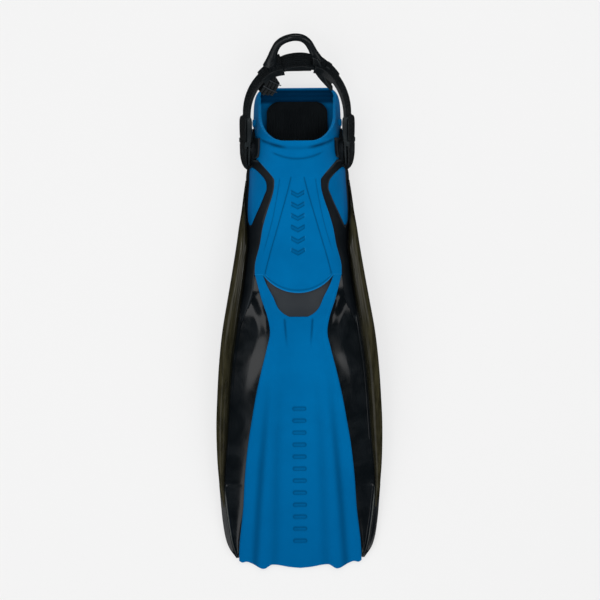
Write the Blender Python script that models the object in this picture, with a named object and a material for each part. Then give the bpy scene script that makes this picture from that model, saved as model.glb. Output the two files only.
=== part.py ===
"""Open-heel swim fin, modelled as separate solids: one named object for each piece.

World units are metres, with +Z up, the heel towards +Y and the blade tip towards -Y. The origin is on the floor
under the middle of the fin. Sizes below are in millimetres and become metres when a mesh is made.
"""

import math

import bmesh
import bpy
import numpy as np
from mathutils import Matrix, Vector

MM = 0.001
GAP = 0.3  # clearance between neighbouring pieces
RUNNING_FIT = 0.1  # clearance round the posts and the lever pins
WELD = 1e-6  # metres, joins grid points that fall on each other

# Overall layout along the fin.
TIP_Y = -348.0
HEEL_Y = 277.0
TOE_Y = 34.0  # front of the foot pocket at its sides
SPEAR_Y = -39.0  # front of the chassis
SOLE_END_Y = 256.0  # rear end of the sole, where it touches the floor
SOLE_SLOPE = 0.12
RAIL_END_Y = -238.0
WINDOW_START_Y, WINDOW_END_Y = 96.0, 177.5  # the gusset's window in the chassis side
BAND_END_Y = 183.5  # rear end of the chevron band
WALL_END_Y = 190.0  # behind this the chassis is only the sole plate and two post arms
ARM_END_Y = 212.0

# Heights above the tread plane.
CHASSIS_BOTTOM = 3.0
FLOOR_THICKNESS = 6.0
POCKET_FLOOR = 2.7
FOOTBED_THICKNESS = 4.0

# Wall thicknesses.
SHELL = 2.7
HIDDEN_GAP = 1.0  # between the chassis and the pocket inside it
RECESS = SHELL + HIDDEN_GAP
RIM_WALL = 4.0
LINER = 2.3  # the pocket's wall inside the chassis
WEB_THICKNESS = 2.6

# Section shape: the upper half is a soft arch and the lower half is nearly flat.
ARCH_X, ARCH_Z, FLOOR_POWER = 2.4, 2.2, 4.5

# Strap and buckles. The strap lies in a plane through the two posts, rising towards the heel.
POST_Y, POST_Z = 198.0, 51.5
STRAP_RISE = math.radians(13.0)
STRAP_LEAN = math.radians(15.0)
BUCKLE_X = 66.2  # middle of a buckle at the height of its post
STRAP_OFFSET = -0.9  # strap tail inside the buckle, measured across it
STRAP_THICK, STRAP_HIGH, HEEL_HIGH = 4.6, 24.0, 40.0
STRAP_TAIL_V = 14.4
STRAP_BEND_V = 46.0
STRAP_DEPTH = 71.0
STRAP_SKEW = 0.07
STRAP_STEPS = 32
BUCKLE_REAR_V, BUCKLE_STEP_V, BUCKLE_FRONT_V = 43.6, 11.8, -24.0
LEVER_FRONT_V, LEVER_REAR_V, LEVER_PIN_V, LEVER_PIN_N = -26.7, 11.0, 8.8, 4.0
POST_RADIUS, BOSS_RADIUS, HUB_RADIUS, PIN_RADIUS = 4.0, 10.5, 10.0, 0.9
BOSS_FACE_X, HUB_FACE_X, HUB_OUTER_X = 60.3, 60.7, 65.7

SMOOTH_ANGLE = math.radians(35)
SIDES = (("left", -1), ("right", 1))

MATERIALS = {
    "blue_elastomer": ((0.0, 0.125, 0.335), 0.45, 0.0),
    "black_polymer": ((0.010, 0.013, 0.016), 0.50, 0.0),
    "smoke_web": ((0.006, 0.009, 0.011), 0.12, 0.0),
    "olive_rail": ((0.032, 0.032, 0.018), 0.25, 0.0),
    "grey_vent": ((0.032, 0.038, 0.046), 0.50, 0.0),
    "black_rubber": ((0.010, 0.012, 0.014), 0.60, 0.0),
    "footbed_foam": ((0.004, 0.006, 0.008), 0.85, 0.0),
    "buckle_polymer": ((0.024, 0.028, 0.031), 0.38, 0.0),
    "steel": ((0.55, 0.56, 0.57), 0.25, 1.0),
}


def curve(*points):
    """A smooth function through (y, value) points in rising y, with no overshoot between them."""
    ys = np.array([p[0] for p in points], float)
    vs = np.array([p[1] for p in points], float)
    gaps = np.diff(ys)
    slopes = np.diff(vs) / gaps
    tangents = np.concatenate([slopes[:1], (slopes[1:] + slopes[:-1]) / 2, slopes[-1:]])
    for i in range(1, len(slopes)):
        if slopes[i - 1] * slopes[i] <= 0:
            tangents[i] = 0
        else:
            limit = 3 * min(abs(slopes[i - 1]), abs(slopes[i]))
            tangents[i] = math.copysign(min(abs(tangents[i]), limit), tangents[i])

    def at(y):
        y = min(max(y, ys[0]), ys[-1])
        i = min(int(np.searchsorted(ys, y, side="right")) - 1, len(gaps) - 1)
        t = (y - ys[i]) / gaps[i]
        h = gaps[i]
        return float(
            vs[i] * (1 + 2 * t) * (1 - t) ** 2
            + vs[i + 1] * t * t * (3 - 2 * t)
            + tangents[i] * h * t * (1 - t) ** 2
            - tangents[i + 1] * h * t * t * (1 - t)
        )

    return at


# Half-widths seen from above, from the tip to the heel.
outline = curve(
    (-337, 80.6), (-331, 85), (-321, 92), (-311, 96), (-290, 100), (-248, 104), (-207, 107),
    (-165, 108), (-124, 106.6), (-82, 104), (-40, 99.5), (1, 92.5), (32, 87), (74, 80), (124, 72.5),
)
skin_width = curve(
    (-337, 79.5), (-321, 85.8), (-290, 91.6), (-259, 95.6), (-238, 97.3), (-217, 96.5), (-186, 93.5),
    (-124, 89.5), (-82, 86), (-40, 80), (1, 74), (32, 69.5), (53, 67), (74, 64.8), (96, 66.5),
    (116, 69), (136, 69.5), (152, 67.4), (171, 65.5), (180, 60), (190, 57), (205, 56.5), (240, 56),
    (262, 54), (271, 50.5), (277, 44),
)
channel_edge = curve(
    (-337, 80.4), (-311, 78.6), (-269, 74), (-228, 71.5), (-186, 67), (-155, 62), (-124, 56.5),
    (-92, 49.4), (-61, 41.6), (-40, 37.5), (-19, 41), (1, 47.7), (22, 53.3), (34, 56.3),
)
vent_edge = curve((-20.5, 12), (-18, 17), (-11, 25), (5, 32.8), (22, 41.5), (34, 46))
vamp_edge = curve(
    (34, 56.3), (43, 56.3), (74, 49.4), (96, 45.5), (116, 39.7), (136, 33), (147, 30.5), (157, 30),
    (165, 35), (175, 43.6), (184, 51), (188, 52.5),
)
spear_edge = curve((-39, 79.2), (-12, 68), (13, 59.5), (34, 57.2))
band_edge = curve(
    (96, 61.5), (116, 52.7), (126, 48), (137, 43.5), (147, 40), (157, 41.8), (165, 47.8), (171, 54),
    (177.5, 60), (184, 52), (190, 49), (212, 47.5),
)
gusset_edge = curve((96, 61.5), (105, 65), (116, 65.3), (157, 63), (173, 62), (177.5, 60), (184, 52), (190, 49), (212, 47.5))

# Heights of the widest line and of the crown above the floor.
middle = curve(
    (-348, 2.2), (-200, 25), (-100, 39.5), (-39, 45.5), (0, 47.5), (34, 46), (60, 44), (100, 40),
    (150, 35.5), (205, 30.5), (240, 25), (262, 21.5), (277, 21),
)
crown = curve(
    (-348, 3.8), (-200, 28.5), (-100, 43.5), (-40, 50), (-20, 54.5), (-5, 62), (10, 69), (34, 71.6),
    (60, 73), (100, 75.7), (150, 80.5), (192, 86), (208, 86), (220, 79), (240, 61), (262, 40), (277, 23),
)
rail_middle = curve((-348, 2.5), (-200, 26), (-100, 42.5), (-40, 49), (0, 50), (74, 47), (122, 48))
rail_half_height = curve((-238, 6.5), (-165, 9.5), (-80, 14), (0, 17), (74, 15.5), (122, 6))
tip_edge = curve(
    (0, -347.0), (15, -345.5), (30, -342.8), (36, -342.5), (47.8, TIP_Y), (63.7, -340.4), (70, -338.5),
    (75.4, -339.5), (81, -336),
)
LOBE_WIDTH = 11.0
LOBE_HEIGHT = 3.0
lobe_place = curve((-348, 47.8), (-200, 41), (-40, 28))
lobe_share = curve((-348, 0.8), (-200, 1), (-60, 0.6), (-25, 0))

LIP_RADIUS = 56.1
LIP_CENTRE_Y = 66.5
LIP_HALF = 46.0
MOUTH_Y, MOUTH_HALF, MOUTH_RADIUS = 208.5, 49.5, 32.0
POCKET_SPLIT_Y = 190.0


def sole(y):
    """Height of the tread plane."""
    return SOLE_SLOPE * (SOLE_END_Y - y)


def smooth_step(t):
    t = min(max(t, 0.0), 1.0)
    return t * t * (3 - 2 * t)


def recess(y):
    """How far the pocket is set back under the chassis; behind the chassis it is flush."""
    return RECESS * (1 - smooth_step((y - 178) / 10))


def arch_angle(x, y):
    """The angle on the arch where it is x from the middle."""
    return math.acos(min(1.0, x / skin_width(y)) ** (ARCH_X / 2))


def arch_point(y, angle, grow=0.0):
    """A point of the upper half of the section, moved outwards along the arch's normal."""
    width, height = skin_width(y), crown(y) - middle(y)
    c, s = max(0.0, math.cos(angle)), max(0.0, math.sin(angle))
    x, z = width * c ** (2 / ARCH_X), height * s ** (2 / ARCH_Z)
    normal_x = ARCH_X / width * (x / width) ** (ARCH_X - 1)
    normal_z = ARCH_Z / height * (z / height) ** (ARCH_Z - 1)
    length = math.hypot(normal_x, normal_z)
    return x + grow * normal_x / length, middle(y) + z + grow * normal_z / length


def floor_point(y, angle, grow, depth):
    """A point of the lower half of the section, angle counted down from the widest line."""
    x = (skin_width(y) + grow) * math.cos(angle) ** (2 / FLOOR_POWER)
    return x, middle(y) - depth * math.sin(angle) ** (2 / FLOOR_POWER)


def skin(x, y):
    """Height of the top surface at a place seen from above."""
    share = min(1.0, abs(x) / skin_width(y))
    return middle(y) + (crown(y) - middle(y)) * (1 - share**ARCH_X) ** (1 / ARCH_Z)


def lip_y(x):
    return LIP_CENTRE_Y - math.sqrt(LIP_RADIUS**2 - min(abs(x), LIP_HALF) ** 2)


def material(name):
    found = bpy.data.materials.get(name)
    if found:
        return found
    colour, roughness, metallic = MATERIALS[name]
    made = bpy.data.materials.new(name)
    made.use_nodes = True
    shader = made.node_tree.nodes["Principled BSDF"]
    shader.inputs["Base Color"].default_value = (*colour, 1)
    shader.inputs["Roughness"].default_value = roughness
    shader.inputs["Metallic"].default_value = metallic
    made.diffuse_color = (*colour, 1)
    return made


def finish_object(name, mesh, material_name):
    """Cleans a bmesh, makes it an object and gives it its material."""
    bmesh.ops.remove_doubles(mesh, verts=mesh.verts, dist=WELD)
    loose = [v for v in mesh.verts if not v.link_faces]
    bmesh.ops.delete(mesh, geom=loose, context="VERTS")
    bmesh.ops.recalc_face_normals(mesh, faces=mesh.faces)
    data = bpy.data.meshes.new(name)
    mesh.to_mesh(data)
    mesh.free()
    made = bpy.data.objects.new(name, data)
    bpy.context.scene.collection.objects.link(made)
    data.materials.append(material(material_name))
    data.shade_smooth()
    data.set_sharp_from_angle(angle=SMOOTH_ANGLE)
    return made


def slab(name, outer, inner, material_name, holes=None, wrap=False):
    """The closed solid between two grids of points; cells marked in holes are left out."""
    rows, columns = len(outer), len(outer[0])
    mesh = bmesh.new()
    top = [[mesh.verts.new(Vector(p) * MM) for p in row] for row in outer]
    low = [[mesh.verts.new(Vector(p) * MM) for p in row] for row in inner]
    across = columns if wrap else columns - 1
    solid = np.ones((rows - 1, across), bool)
    if holes is not None:
        solid &= ~holes

    def filled(i, j):
        j = j % columns if wrap else j
        return 0 <= i < rows - 1 and 0 <= j < across and solid[i, j]

    for i in range(rows - 1):
        for j in range(across):
            if not solid[i, j]:
                continue
            k = (j + 1) % columns
            corners = ((i, j), (i, k), (i + 1, k), (i + 1, j))
            beyond = ((i - 1, j), (i, j + 1), (i + 1, j), (i, j - 1))
            mesh.faces.new([top[r][c] for r, c in corners])
            mesh.faces.new([low[r][c] for r, c in reversed(corners)])
            for n, place in enumerate(beyond):
                if not filled(*place):
                    (r0, c0), (r1, c1) = corners[n], corners[(n + 1) % 4]
                    mesh.faces.new((top[r1][c1], top[r0][c0], low[r0][c0], low[r1][c1]))
    return finish_object(name, mesh, material_name)


def loft(name, rings, material_name):
    """The closed solid through a row of rings, with flat ends."""
    mesh = bmesh.new()
    verts = [[mesh.verts.new(Vector(p) * MM) for p in ring] for ring in rings]
    count = len(rings[0])
    for a, b in zip(verts, verts[1:]):
        for i in range(count):
            j = (i + 1) % count
            mesh.faces.new((a[i], a[j], b[j], b[i]))
    mesh.faces.new(list(reversed(verts[0])))
    mesh.faces.new(verts[-1])
    return finish_object(name, mesh, material_name)


def put_origin(part, place):
    """Moves a piece's origin to a place in millimetres, leaving the piece where it is."""
    place = Vector(place) * MM
    part.data.transform(Matrix.Translation(-place))
    part.location = place


def mirrored(points, side):
    return [[(side * x, y, z) for x, y, z in row] for row in points]


def cut(target, tool, operation="DIFFERENCE"):
    """Joins or cuts with a hidden tool."""
    tool.hide_render = True
    tool.display_type = "WIRE"
    step = target.modifiers.new(f"{operation.lower()}_{tool.name}", "BOOLEAN")
    step.operation = operation
    step.object = tool


def turned(name, stations, centre, axis, material_name, count=20):
    """A round solid on an axis: stations are (distance along the axis, radius)."""
    axis = Vector(axis).normalized()
    side = axis.orthogonal().normalized()
    other = axis.cross(side)
    rings = []
    for along, radius in stations:
        turn = [2 * math.pi * i / count for i in range(count)]
        middle_point = Vector(centre) + axis * along
        rings.append([middle_point + (side * math.cos(t) + other * math.sin(t)) * radius for t in turn])
    return loft(name, rings, material_name)


# ---- foot pocket and chassis -------------------------------------------------------------------------------------

FLOOR_ANGLES = [math.radians(a) for a in (5, 20, 45, 68, 90)]
FLOOR_EDGE = 2  # the sole plate behind the chassis walls starts at this floor angle
CHASSIS_ROWS = (
    -39, -26, -12, 2, 16, 28, 34, 43, 58, 76, 88, 96, 105, 116, 126, 137, 147, 157, 165, 171, 177.5,
    183.5, 187, 190, 201, 212, 234, 256,
)


chassis_wall = curve((SPEAR_Y, 0.7), (-12, SHELL))


def flank_angles(y):
    """Arch angles from the vamp's edge to the widest line, along the chevron band and the gusset."""
    y = max(y, TOE_Y)
    start = arch_angle(vamp_edge(y), y)
    if y > WINDOW_END_Y:
        base = flank_angles(WINDOW_END_Y)
        return [start * angle / base[0] for angle in base]
    if y < WINDOW_START_Y:
        shoulder = arch_angle(skin_width(y) - 4, y)
        return [start, shoulder, shoulder, shoulder / 2, 0.0]
    at_band, at_gusset = arch_angle(band_edge(y), y), arch_angle(gusset_edge(y), y)
    return [start, at_band, at_gusset, at_gusset / 2, 0.0]


def chassis_columns(y):
    """The same lines for the chassis, which also runs on to the spears in front and the post arms behind."""
    angles = flank_angles(y)
    if y <= TOE_Y:
        shoulder = min(arch_angle(skin_width(y) - 4, y), arch_angle(spear_edge(y) + 0.5, y))
        return [arch_angle(spear_edge(y), y), shoulder, shoulder, shoulder / 2, 0.0]
    if y > 184:
        top = arch_angle(band_edge(y), y)
        return [arch_angle(band_edge(y) - 1, y), top, top, top / 2, 0.0]
    return [arch_angle(vamp_edge(y) + GAP, y)] + angles[1:]


def straight_below(y, angle, out, thick):
    """A point on the wall's inner face directly under its outer point, so that the wall's edge is upright."""
    x, z = arch_point(y, angle, out)
    x_in, z_in = arch_point(y, angle, out - thick)
    drop = thick * thick / max(z - z_in, 0.4 * thick)
    return x, z - drop


def chassis_grid(inside, floor):
    """One half of the chassis surface: rows along the fin, columns from the top edge to the middle of the sole."""
    grid = []
    for y in CHASSIS_ROWS:
        grow = -chassis_wall(y) if inside else 0.0
        out = RECESS - recess(y) + grow
        angles = chassis_columns(y)
        row = [arch_point(y, angle, out) for angle in angles]
        if inside:
            row[0] = straight_below(y, angles[0], out - grow, -grow)
        depth = middle(y) - sole(y) - floor(y)
        row += [floor_point(y, angle, out, depth) for angle in FLOOR_ANGLES]
        grid.append([(x, y, z) for x, z in row])
    return grid


def both_halves(grid):
    """Joins a half grid to its mirror image across the middle."""
    return [[(-x, y, z) for x, y, z in row] + list(reversed(row[:-1])) for row in grid]


def chassis():
    floor_thickness = curve((SPEAR_Y, 2.4), (TOE_Y, FLOOR_THICKNESS))
    outer = both_halves(chassis_grid(False, lambda y: CHASSIS_BOTTOM))
    inner = both_halves(chassis_grid(True, lambda y: CHASSIS_BOTTOM + floor_thickness(y)))
    cells = len(outer[0]) - 1
    holes = np.zeros((len(CHASSIS_ROWS) - 1, cells), bool)
    for i, (y, next_y) in enumerate(zip(CHASSIS_ROWS, CHASSIS_ROWS[1:])):
        half = np.zeros(cells // 2, bool)
        half[1] = WINDOW_START_Y <= y and next_y <= WINDOW_END_Y
        half[0] = y >= BAND_END_Y
        half[1:4] |= y >= ARM_END_Y
        half[4 : 4 + FLOOR_EDGE + 1] = y >= WALL_END_Y
        holes[i] = np.concatenate([half, half[::-1]])
    body = slab("chassis", outer, inner, "black_polymer", holes)
    for label, side in SIDES:
        boss = turned(
            f"{label}_boss_tool", [(56.6, BOSS_RADIUS), (BOSS_FACE_X - 1, BOSS_RADIUS), (BOSS_FACE_X, BOSS_RADIUS - 1)],
            (0, POST_Y, POST_Z), (side, 0, 0), "black_polymer",
        )
        cut(body, boss, "UNION")
    bore = turned("post_bore_tool", [(-80, POST_RADIUS + RUNNING_FIT), (80, POST_RADIUS + RUNNING_FIT)], (0, POST_Y, POST_Z), (1, 0, 0), "steel")
    cut(body, bore)
    return body


def gusset(label, side):
    """The soft panel in the window of the chassis side."""
    rows = (99, 105, 116, 126, 137, 147, 157, 165, 171, 173.6)
    faces = []
    for grow in (0.0, -SHELL):
        grid = []
        for y in rows:
            margin = 1.4 if y == rows[-1] else 0.4
            a = arch_angle(band_edge(y) + margin, y)
            b = arch_angle(gusset_edge(y) - margin, y)
            grid.append([(x, y, z) for x, z in (arch_point(y, a + (b - a) * k / 3, grow) for k in range(4))])
        faces.append(mirrored(grid, side))
    return slab(f"{label}_gusset", faces[0], faces[1], "blue_elastomer")


POCKET_ROWS = [y for y in CHASSIS_ROWS if TOE_Y <= y <= WALL_END_Y]
MOUTH_SHARES = (0.126, 0.253, 0.506, 0.759, 0.89, 1.0)  # in step with the rows of the sole plate
VAMP_SHARES = (0, 0.2, 0.4, 0.58, 0.735, 1)  # the fifth column meets the end of the toe lip
VAMP_SHARE = 0.62  # how much of the opening's edge belongs to the vamp's columns
HEEL_CURL_Y = 250.0
HEEL_LIFT = 8.0


def mouth_point(s):
    """Plan position of the opening's edge: s runs from 0 at the instep to 1 at the rear corner."""
    if s < 0.2:
        return s / 0.2 * (MOUTH_HALF - MOUTH_RADIUS), MOUTH_Y
    if s < 0.6:
        turn = (s - 0.2) / 0.4 * math.pi / 2
        centre_x, centre_y = MOUTH_HALF - MOUTH_RADIUS, MOUTH_Y + MOUTH_RADIUS
        return centre_x + MOUTH_RADIUS * math.sin(turn), centre_y - MOUTH_RADIUS * math.cos(turn)
    t = (s - 0.6) / 0.4
    y = MOUTH_Y + MOUTH_RADIUS + t * (HEEL_Y - MOUTH_Y - MOUTH_RADIUS)
    return min(MOUTH_HALF, skin_width(y)), y


def pocket_floor_height(y):
    """Underside of the pocket; it curls up behind the heel."""
    t = max(0.0, (y - HEEL_CURL_Y) / (HEEL_Y - HEEL_CURL_Y))
    base = sole(min(y, HEEL_CURL_Y)) + CHASSIS_BOTTOM + FLOOR_THICKNESS + 0.6
    return base + HEEL_LIFT * (1 - math.sqrt(1 - 0.98 * t * t))


def pocket_half(inside):
    """Half of the pocket's surface: rows from the toe to the mouth, columns from the crown to the middle of the floor."""
    vamp = VAMP_SHARES

    def vamp_angle(y, k):
        return math.pi / 2 + (arch_angle(vamp_edge(y), y) - math.pi / 2) * k

    def wall(y):
        return RIM_WALL + (RECESS + LINER - RIM_WALL) * (recess(y) / RECESS)

    def height_and_place(y, angle, stepped):
        back = recess(y) if stepped else 0.0
        x, z = arch_point(y, angle, -wall(y) if inside else -back)
        return x, y, z

    def floor_row(y):
        grow = -wall(y) if inside else -recess(y)
        base = pocket_floor_height(y) + (POCKET_FLOOR if inside else 0.0)
        depth = max(0.4, middle(y) - base)
        return [(x, y, z) for x, z in (floor_point(y, a, grow, depth) for a in FLOOR_ANGLES)]

    rows = []
    for y in POCKET_ROWS:
        stretch = (POCKET_SPLIT_Y - y) / (POCKET_SPLIT_Y - TOE_Y)
        row = []
        for k in vamp:
            front = min(TOE_Y, lip_y(arch_point(TOE_Y, vamp_angle(TOE_Y, k))[0]))
            place = POCKET_SPLIT_Y - stretch * (POCKET_SPLIT_Y - front)
            row.append(height_and_place(place, vamp_angle(place, k), False))
        row += [height_and_place(y, angle, True) for angle in flank_angles(y)]
        rows.append(row + floor_row(y))
    flank = flank_angles(POCKET_SPLIT_Y)
    starts = [vamp_angle(POCKET_SPLIT_Y, k) for k in vamp] + flank
    mouth = [k * VAMP_SHARE for k in vamp] + [1 - (1 - VAMP_SHARE) * angle / flank[0] for angle in flank]
    for u in MOUTH_SHARES:
        row = []
        for start, s in zip(starts, mouth):
            x, y_end = mouth_point(s)
            y = POCKET_SPLIT_Y + (y_end - POCKET_SPLIT_Y) * u
            row.append(height_and_place(y, start + (arch_angle(x, y_end) - start) * u, False))
        rows.append(row + floor_row(POCKET_SPLIT_Y + (HEEL_Y - POCKET_SPLIT_Y) * u))
    return rows


def foot_pocket():
    """The soft pocket: a tube open at the toe and cut away over the heel."""
    grids = []
    for inside in (False, True):
        half = pocket_half(inside)
        grids.append([row + [(-x, y, z) for x, y, z in reversed(row[1:-1])] for row in half])
    return slab("foot_pocket", grids[0], grids[1], "blue_elastomer", wrap=True)


def footbed():
    """The ribbed insole on the pocket's floor."""
    rows = (46, 60, 80, 110, 140, 170, 200, 225, 242, 251, 256.5, 259)
    half_width = curve((46, 38), (110, 46), (150, 44), (200, 39.5), (242, 39.5), (251, 37.5), (256.5, 32), (259, 26))
    top, low = [], []
    for y in rows:
        base = sole(y) + CHASSIS_BOTTOM + FLOOR_THICKNESS + 0.6 + POCKET_FLOOR + GAP
        upper_row, lower_row = [], []
        for k in (-1, -0.72, 0, 0.72, 1):
            x = k * half_width(y)
            lift = 1.8 * abs(k) ** 4 + 1.6 * smooth_step((y - 238) / 21)
            upper_row.append((x, y, base + lift + FOOTBED_THICKNESS))
            lower_row.append((x, y, base + lift))
        top.append(upper_row)
        low.append(lower_row)
    return slab("footbed", top, low, "footbed_foam")


RIB_SHARE = 0.62


def tread(name, y_from, y_to, half_width, ribs):
    """A ribbed grip pad under the sole, flat along the crests of its ribs."""
    top, low = [], []
    pitch = (y_to - y_from) / (ribs - 1 + RIB_SHARE)
    for n in range(ribs):
        for share, deep in ((0.0, 0.0), (RIB_SHARE, 0.0), (RIB_SHARE + 0.02, 1.2), (0.98, 1.2)):
            y = y_from + (n + share) * pitch
            if n == ribs - 1 and deep:
                continue
            top.append([(k * half_width, y, sole(y) + CHASSIS_BOTTOM - GAP) for k in (-1, 1)])
            low.append([(k * half_width, y, sole(y) + deep) for k in (-1, 1)])
    return slab(name, top, low, "black_rubber")


# ---- blade ---------------------------------------------------------------------------------------------------------

def lobe(x, y):
    """Height of the two long waves of the blade's middle channel."""
    wave = math.exp(-(((abs(x) - lobe_place(y)) / LOBE_WIDTH) ** 2))
    return LOBE_HEIGHT * lobe_share(y) * wave


def vent_panel():
    """The panel between the toe lip and the blade."""
    top, low = [], []
    for y in (-20.2, -18, -14, -8, 0, 8, 16, 24, 32, 38):
        upper_row, lower_row = [], []
        for k in (-1, -0.8, -0.55, -0.28, 0, 0.28, 0.55, 0.8, 1):
            x = k * (vent_edge(y) - 0.5)
            rear = lip_y(x) + 4.5
            place = min(y, rear)
            rise = smooth_step((place + 20.2) / (rear + 20.2))
            z = skin(x, place) - 0.6 - 7.0 * rise
            upper_row.append((x, place, z))
            lower_row.append((x, place, z - SHELL))
        top.append(upper_row)
        low.append(lower_row)
    return top, low


def make_vent_panel():
    top, low = vent_panel()
    return slab("vent_panel", top, low, "grey_vent")


CHANNEL_ROWS = (
    33.9, 28, 22, 14, 5, -3, -11, -15, -18, -20.5, -26, -32.5, SPEAR_Y, SPEAR_Y - 0.6, -48, -60, -76, -98,
    -124, -152, -182, -212, -244, -276, -306, -326,
)
CHANNEL_INNER = (0, 0.5, 1)
CHANNEL_OUTER = (0.25, 0.4, 0.53, 0.75, 1)  # the third runs along the crest of a wave


def blade_channel():
    """The blue middle of the blade: two ribs beside the vent that run on as one waved panel to the tip."""
    thickness = curve((-348, 2.9), (-200, 4.2), (-40, 5.0), (34, 5.2))
    top, low = [], []
    steps = list(CHANNEL_ROWS) + [None]
    for y in steps:
        upper_row, lower_row = [], []
        width_y = CHANNEL_ROWS[-1] if y is None else y
        inner = vent_edge(width_y)
        edge = channel_edge(width_y) - GAP / 2
        places = [k * inner for k in CHANNEL_INNER] + [inner + (edge - inner) * k for k in CHANNEL_OUTER]
        for x in [-p for p in reversed(places[1:])] + places:
            place = tip_edge(abs(x)) if y is None else y
            z = skin(x, place) + lobe(x, place)
            upper_row.append((x, place, z))
            lower_row.append((x, place, z - thickness(place)))
        top.append(upper_row)
        low.append(lower_row)
    cells = len(top[0]) - 1
    holes = np.zeros((len(top) - 1, cells), bool)
    inner_cells = len(CHANNEL_INNER) - 1
    first = cells // 2 - inner_cells
    for i, y in enumerate(CHANNEL_ROWS[:-1]):
        if CHANNEL_ROWS[i + 1] >= -20.5:
            holes[i, first : first + 2 * inner_cells] = True
    return slab("blade_channel", top, low, "blue_elastomer", holes)


def side_web(label, side):
    """The glossy panel between the channel and the rail; past the rail's end it widens into the blade's rim."""
    rows = (
        33, 24, 14, 2, -12, -26, -32.5, SPEAR_Y, SPEAR_Y - 0.6, -48, -60, -85, -110, -140, -170, -200, -225,
        RAIL_END_Y, RAIL_END_Y - 0.4, -262, -290, -308, -320, -328, -333.5,
    )
    top, low = [], []
    for y in rows:
        if y >= SPEAR_Y:
            outer = spear_edge(y) - GAP - 1.4 * smooth_step((-12 - y) / 27)
        elif y >= RAIL_END_Y:
            outer = skin_width(y) - GAP / 2
        else:
            outer = outline(y)
        inner = channel_edge(y) + GAP / 2
        thick = WEB_THICKNESS + 1.2 * smooth_step((RAIL_END_Y - y) / 20)
        upper_row, lower_row = [], []
        for k in (0, 0.3, 0.6, 0.85, 1):
            x = inner + (outer - inner) * k
            z = skin(x, y) + (0.8 * k if y < RAIL_END_Y else 0.0)
            upper_row.append((x, y, z))
            lower_row.append((x, y, z - min(thick, z - 0.2)))
        top.append(upper_row)
        low.append(lower_row)
    return slab(f"{label}_web", mirrored(top, side), mirrored(low, side), "smoke_web")


def rail(label, side):
    """The translucent stiffener along the blade's edge, a rounded bar that tapers at both ends."""
    rows = (122, 112, 98, 82, 64, 44, 20, -8, -40, -75, -110, -145, -180, -210, -237.5)
    rings = []
    for y in rows:
        inner = skin_width(y) + GAP / 2 + 0.15
        outer = max(outline(y), inner + 1.6)
        centre, half = (inner + outer) / 2, (outer - inner) / 2
        ring = []
        for n in range(12):
            turn = 2 * math.pi * n / 12
            c, s = math.cos(turn), math.sin(turn)
            x = centre + half * math.copysign(abs(c) ** 0.8, c)
            z = rail_middle(y) + rail_half_height(y) * math.copysign(abs(s) ** 0.8, s)
            ring.append((side * x, y, z))
        rings.append(ring)
    return loft(f"{label}_rail", rings, "olive_rail")


# ---- buckles -------------------------------------------------------------------------------------------------------

def strap_frame(x, v, up):
    """World place of a point in the strap's plane frame: x across, v towards the heel, up out of the plane."""
    return (
        x,
        POST_Y + v * math.cos(STRAP_RISE) - up * math.sin(STRAP_RISE),
        POST_Z + v * math.sin(STRAP_RISE) + up * math.cos(STRAP_RISE),
    )


def buckle_frame_point(side, n, v, w):
    """World place of a point in a buckle: n outwards across it, v towards the heel, w up its leaning height."""
    x = BUCKLE_X + n * math.cos(STRAP_LEAN) - w * math.sin(STRAP_LEAN)
    return strap_frame(side * x, v, n * math.sin(STRAP_LEAN) + w * math.cos(STRAP_LEAN))


def block(name, side, stations, material_name, power=0.35, count=12):
    """A rounded bar along a buckle: stations are (v, lowest n, highest n, half height)."""
    rings = []
    for v, n_low, n_high, half_w in stations:
        ring = []
        for i in range(count):
            turn = 2 * math.pi * (i + 0.5) / count
            c, s = math.cos(turn), math.sin(turn)
            n = (n_low + n_high) / 2 + (n_high - n_low) / 2 * math.copysign(abs(c) ** power, c)
            w = half_w * math.copysign(abs(s) ** power, s)
            ring.append(buckle_frame_point(side, n, v, w))
        rings.append(ring)
    return loft(name, rings, material_name)


def lean_axis(side):
    """Unit vector up a buckle's leaning height."""
    base = Vector(buckle_frame_point(side, 0, 0, 0))
    return (Vector(buckle_frame_point(side, 0, 0, 1)) - base).normalized()


def pin_centre(side):
    return buckle_frame_point(side, LEVER_PIN_N, LEVER_PIN_V, 0)


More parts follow.
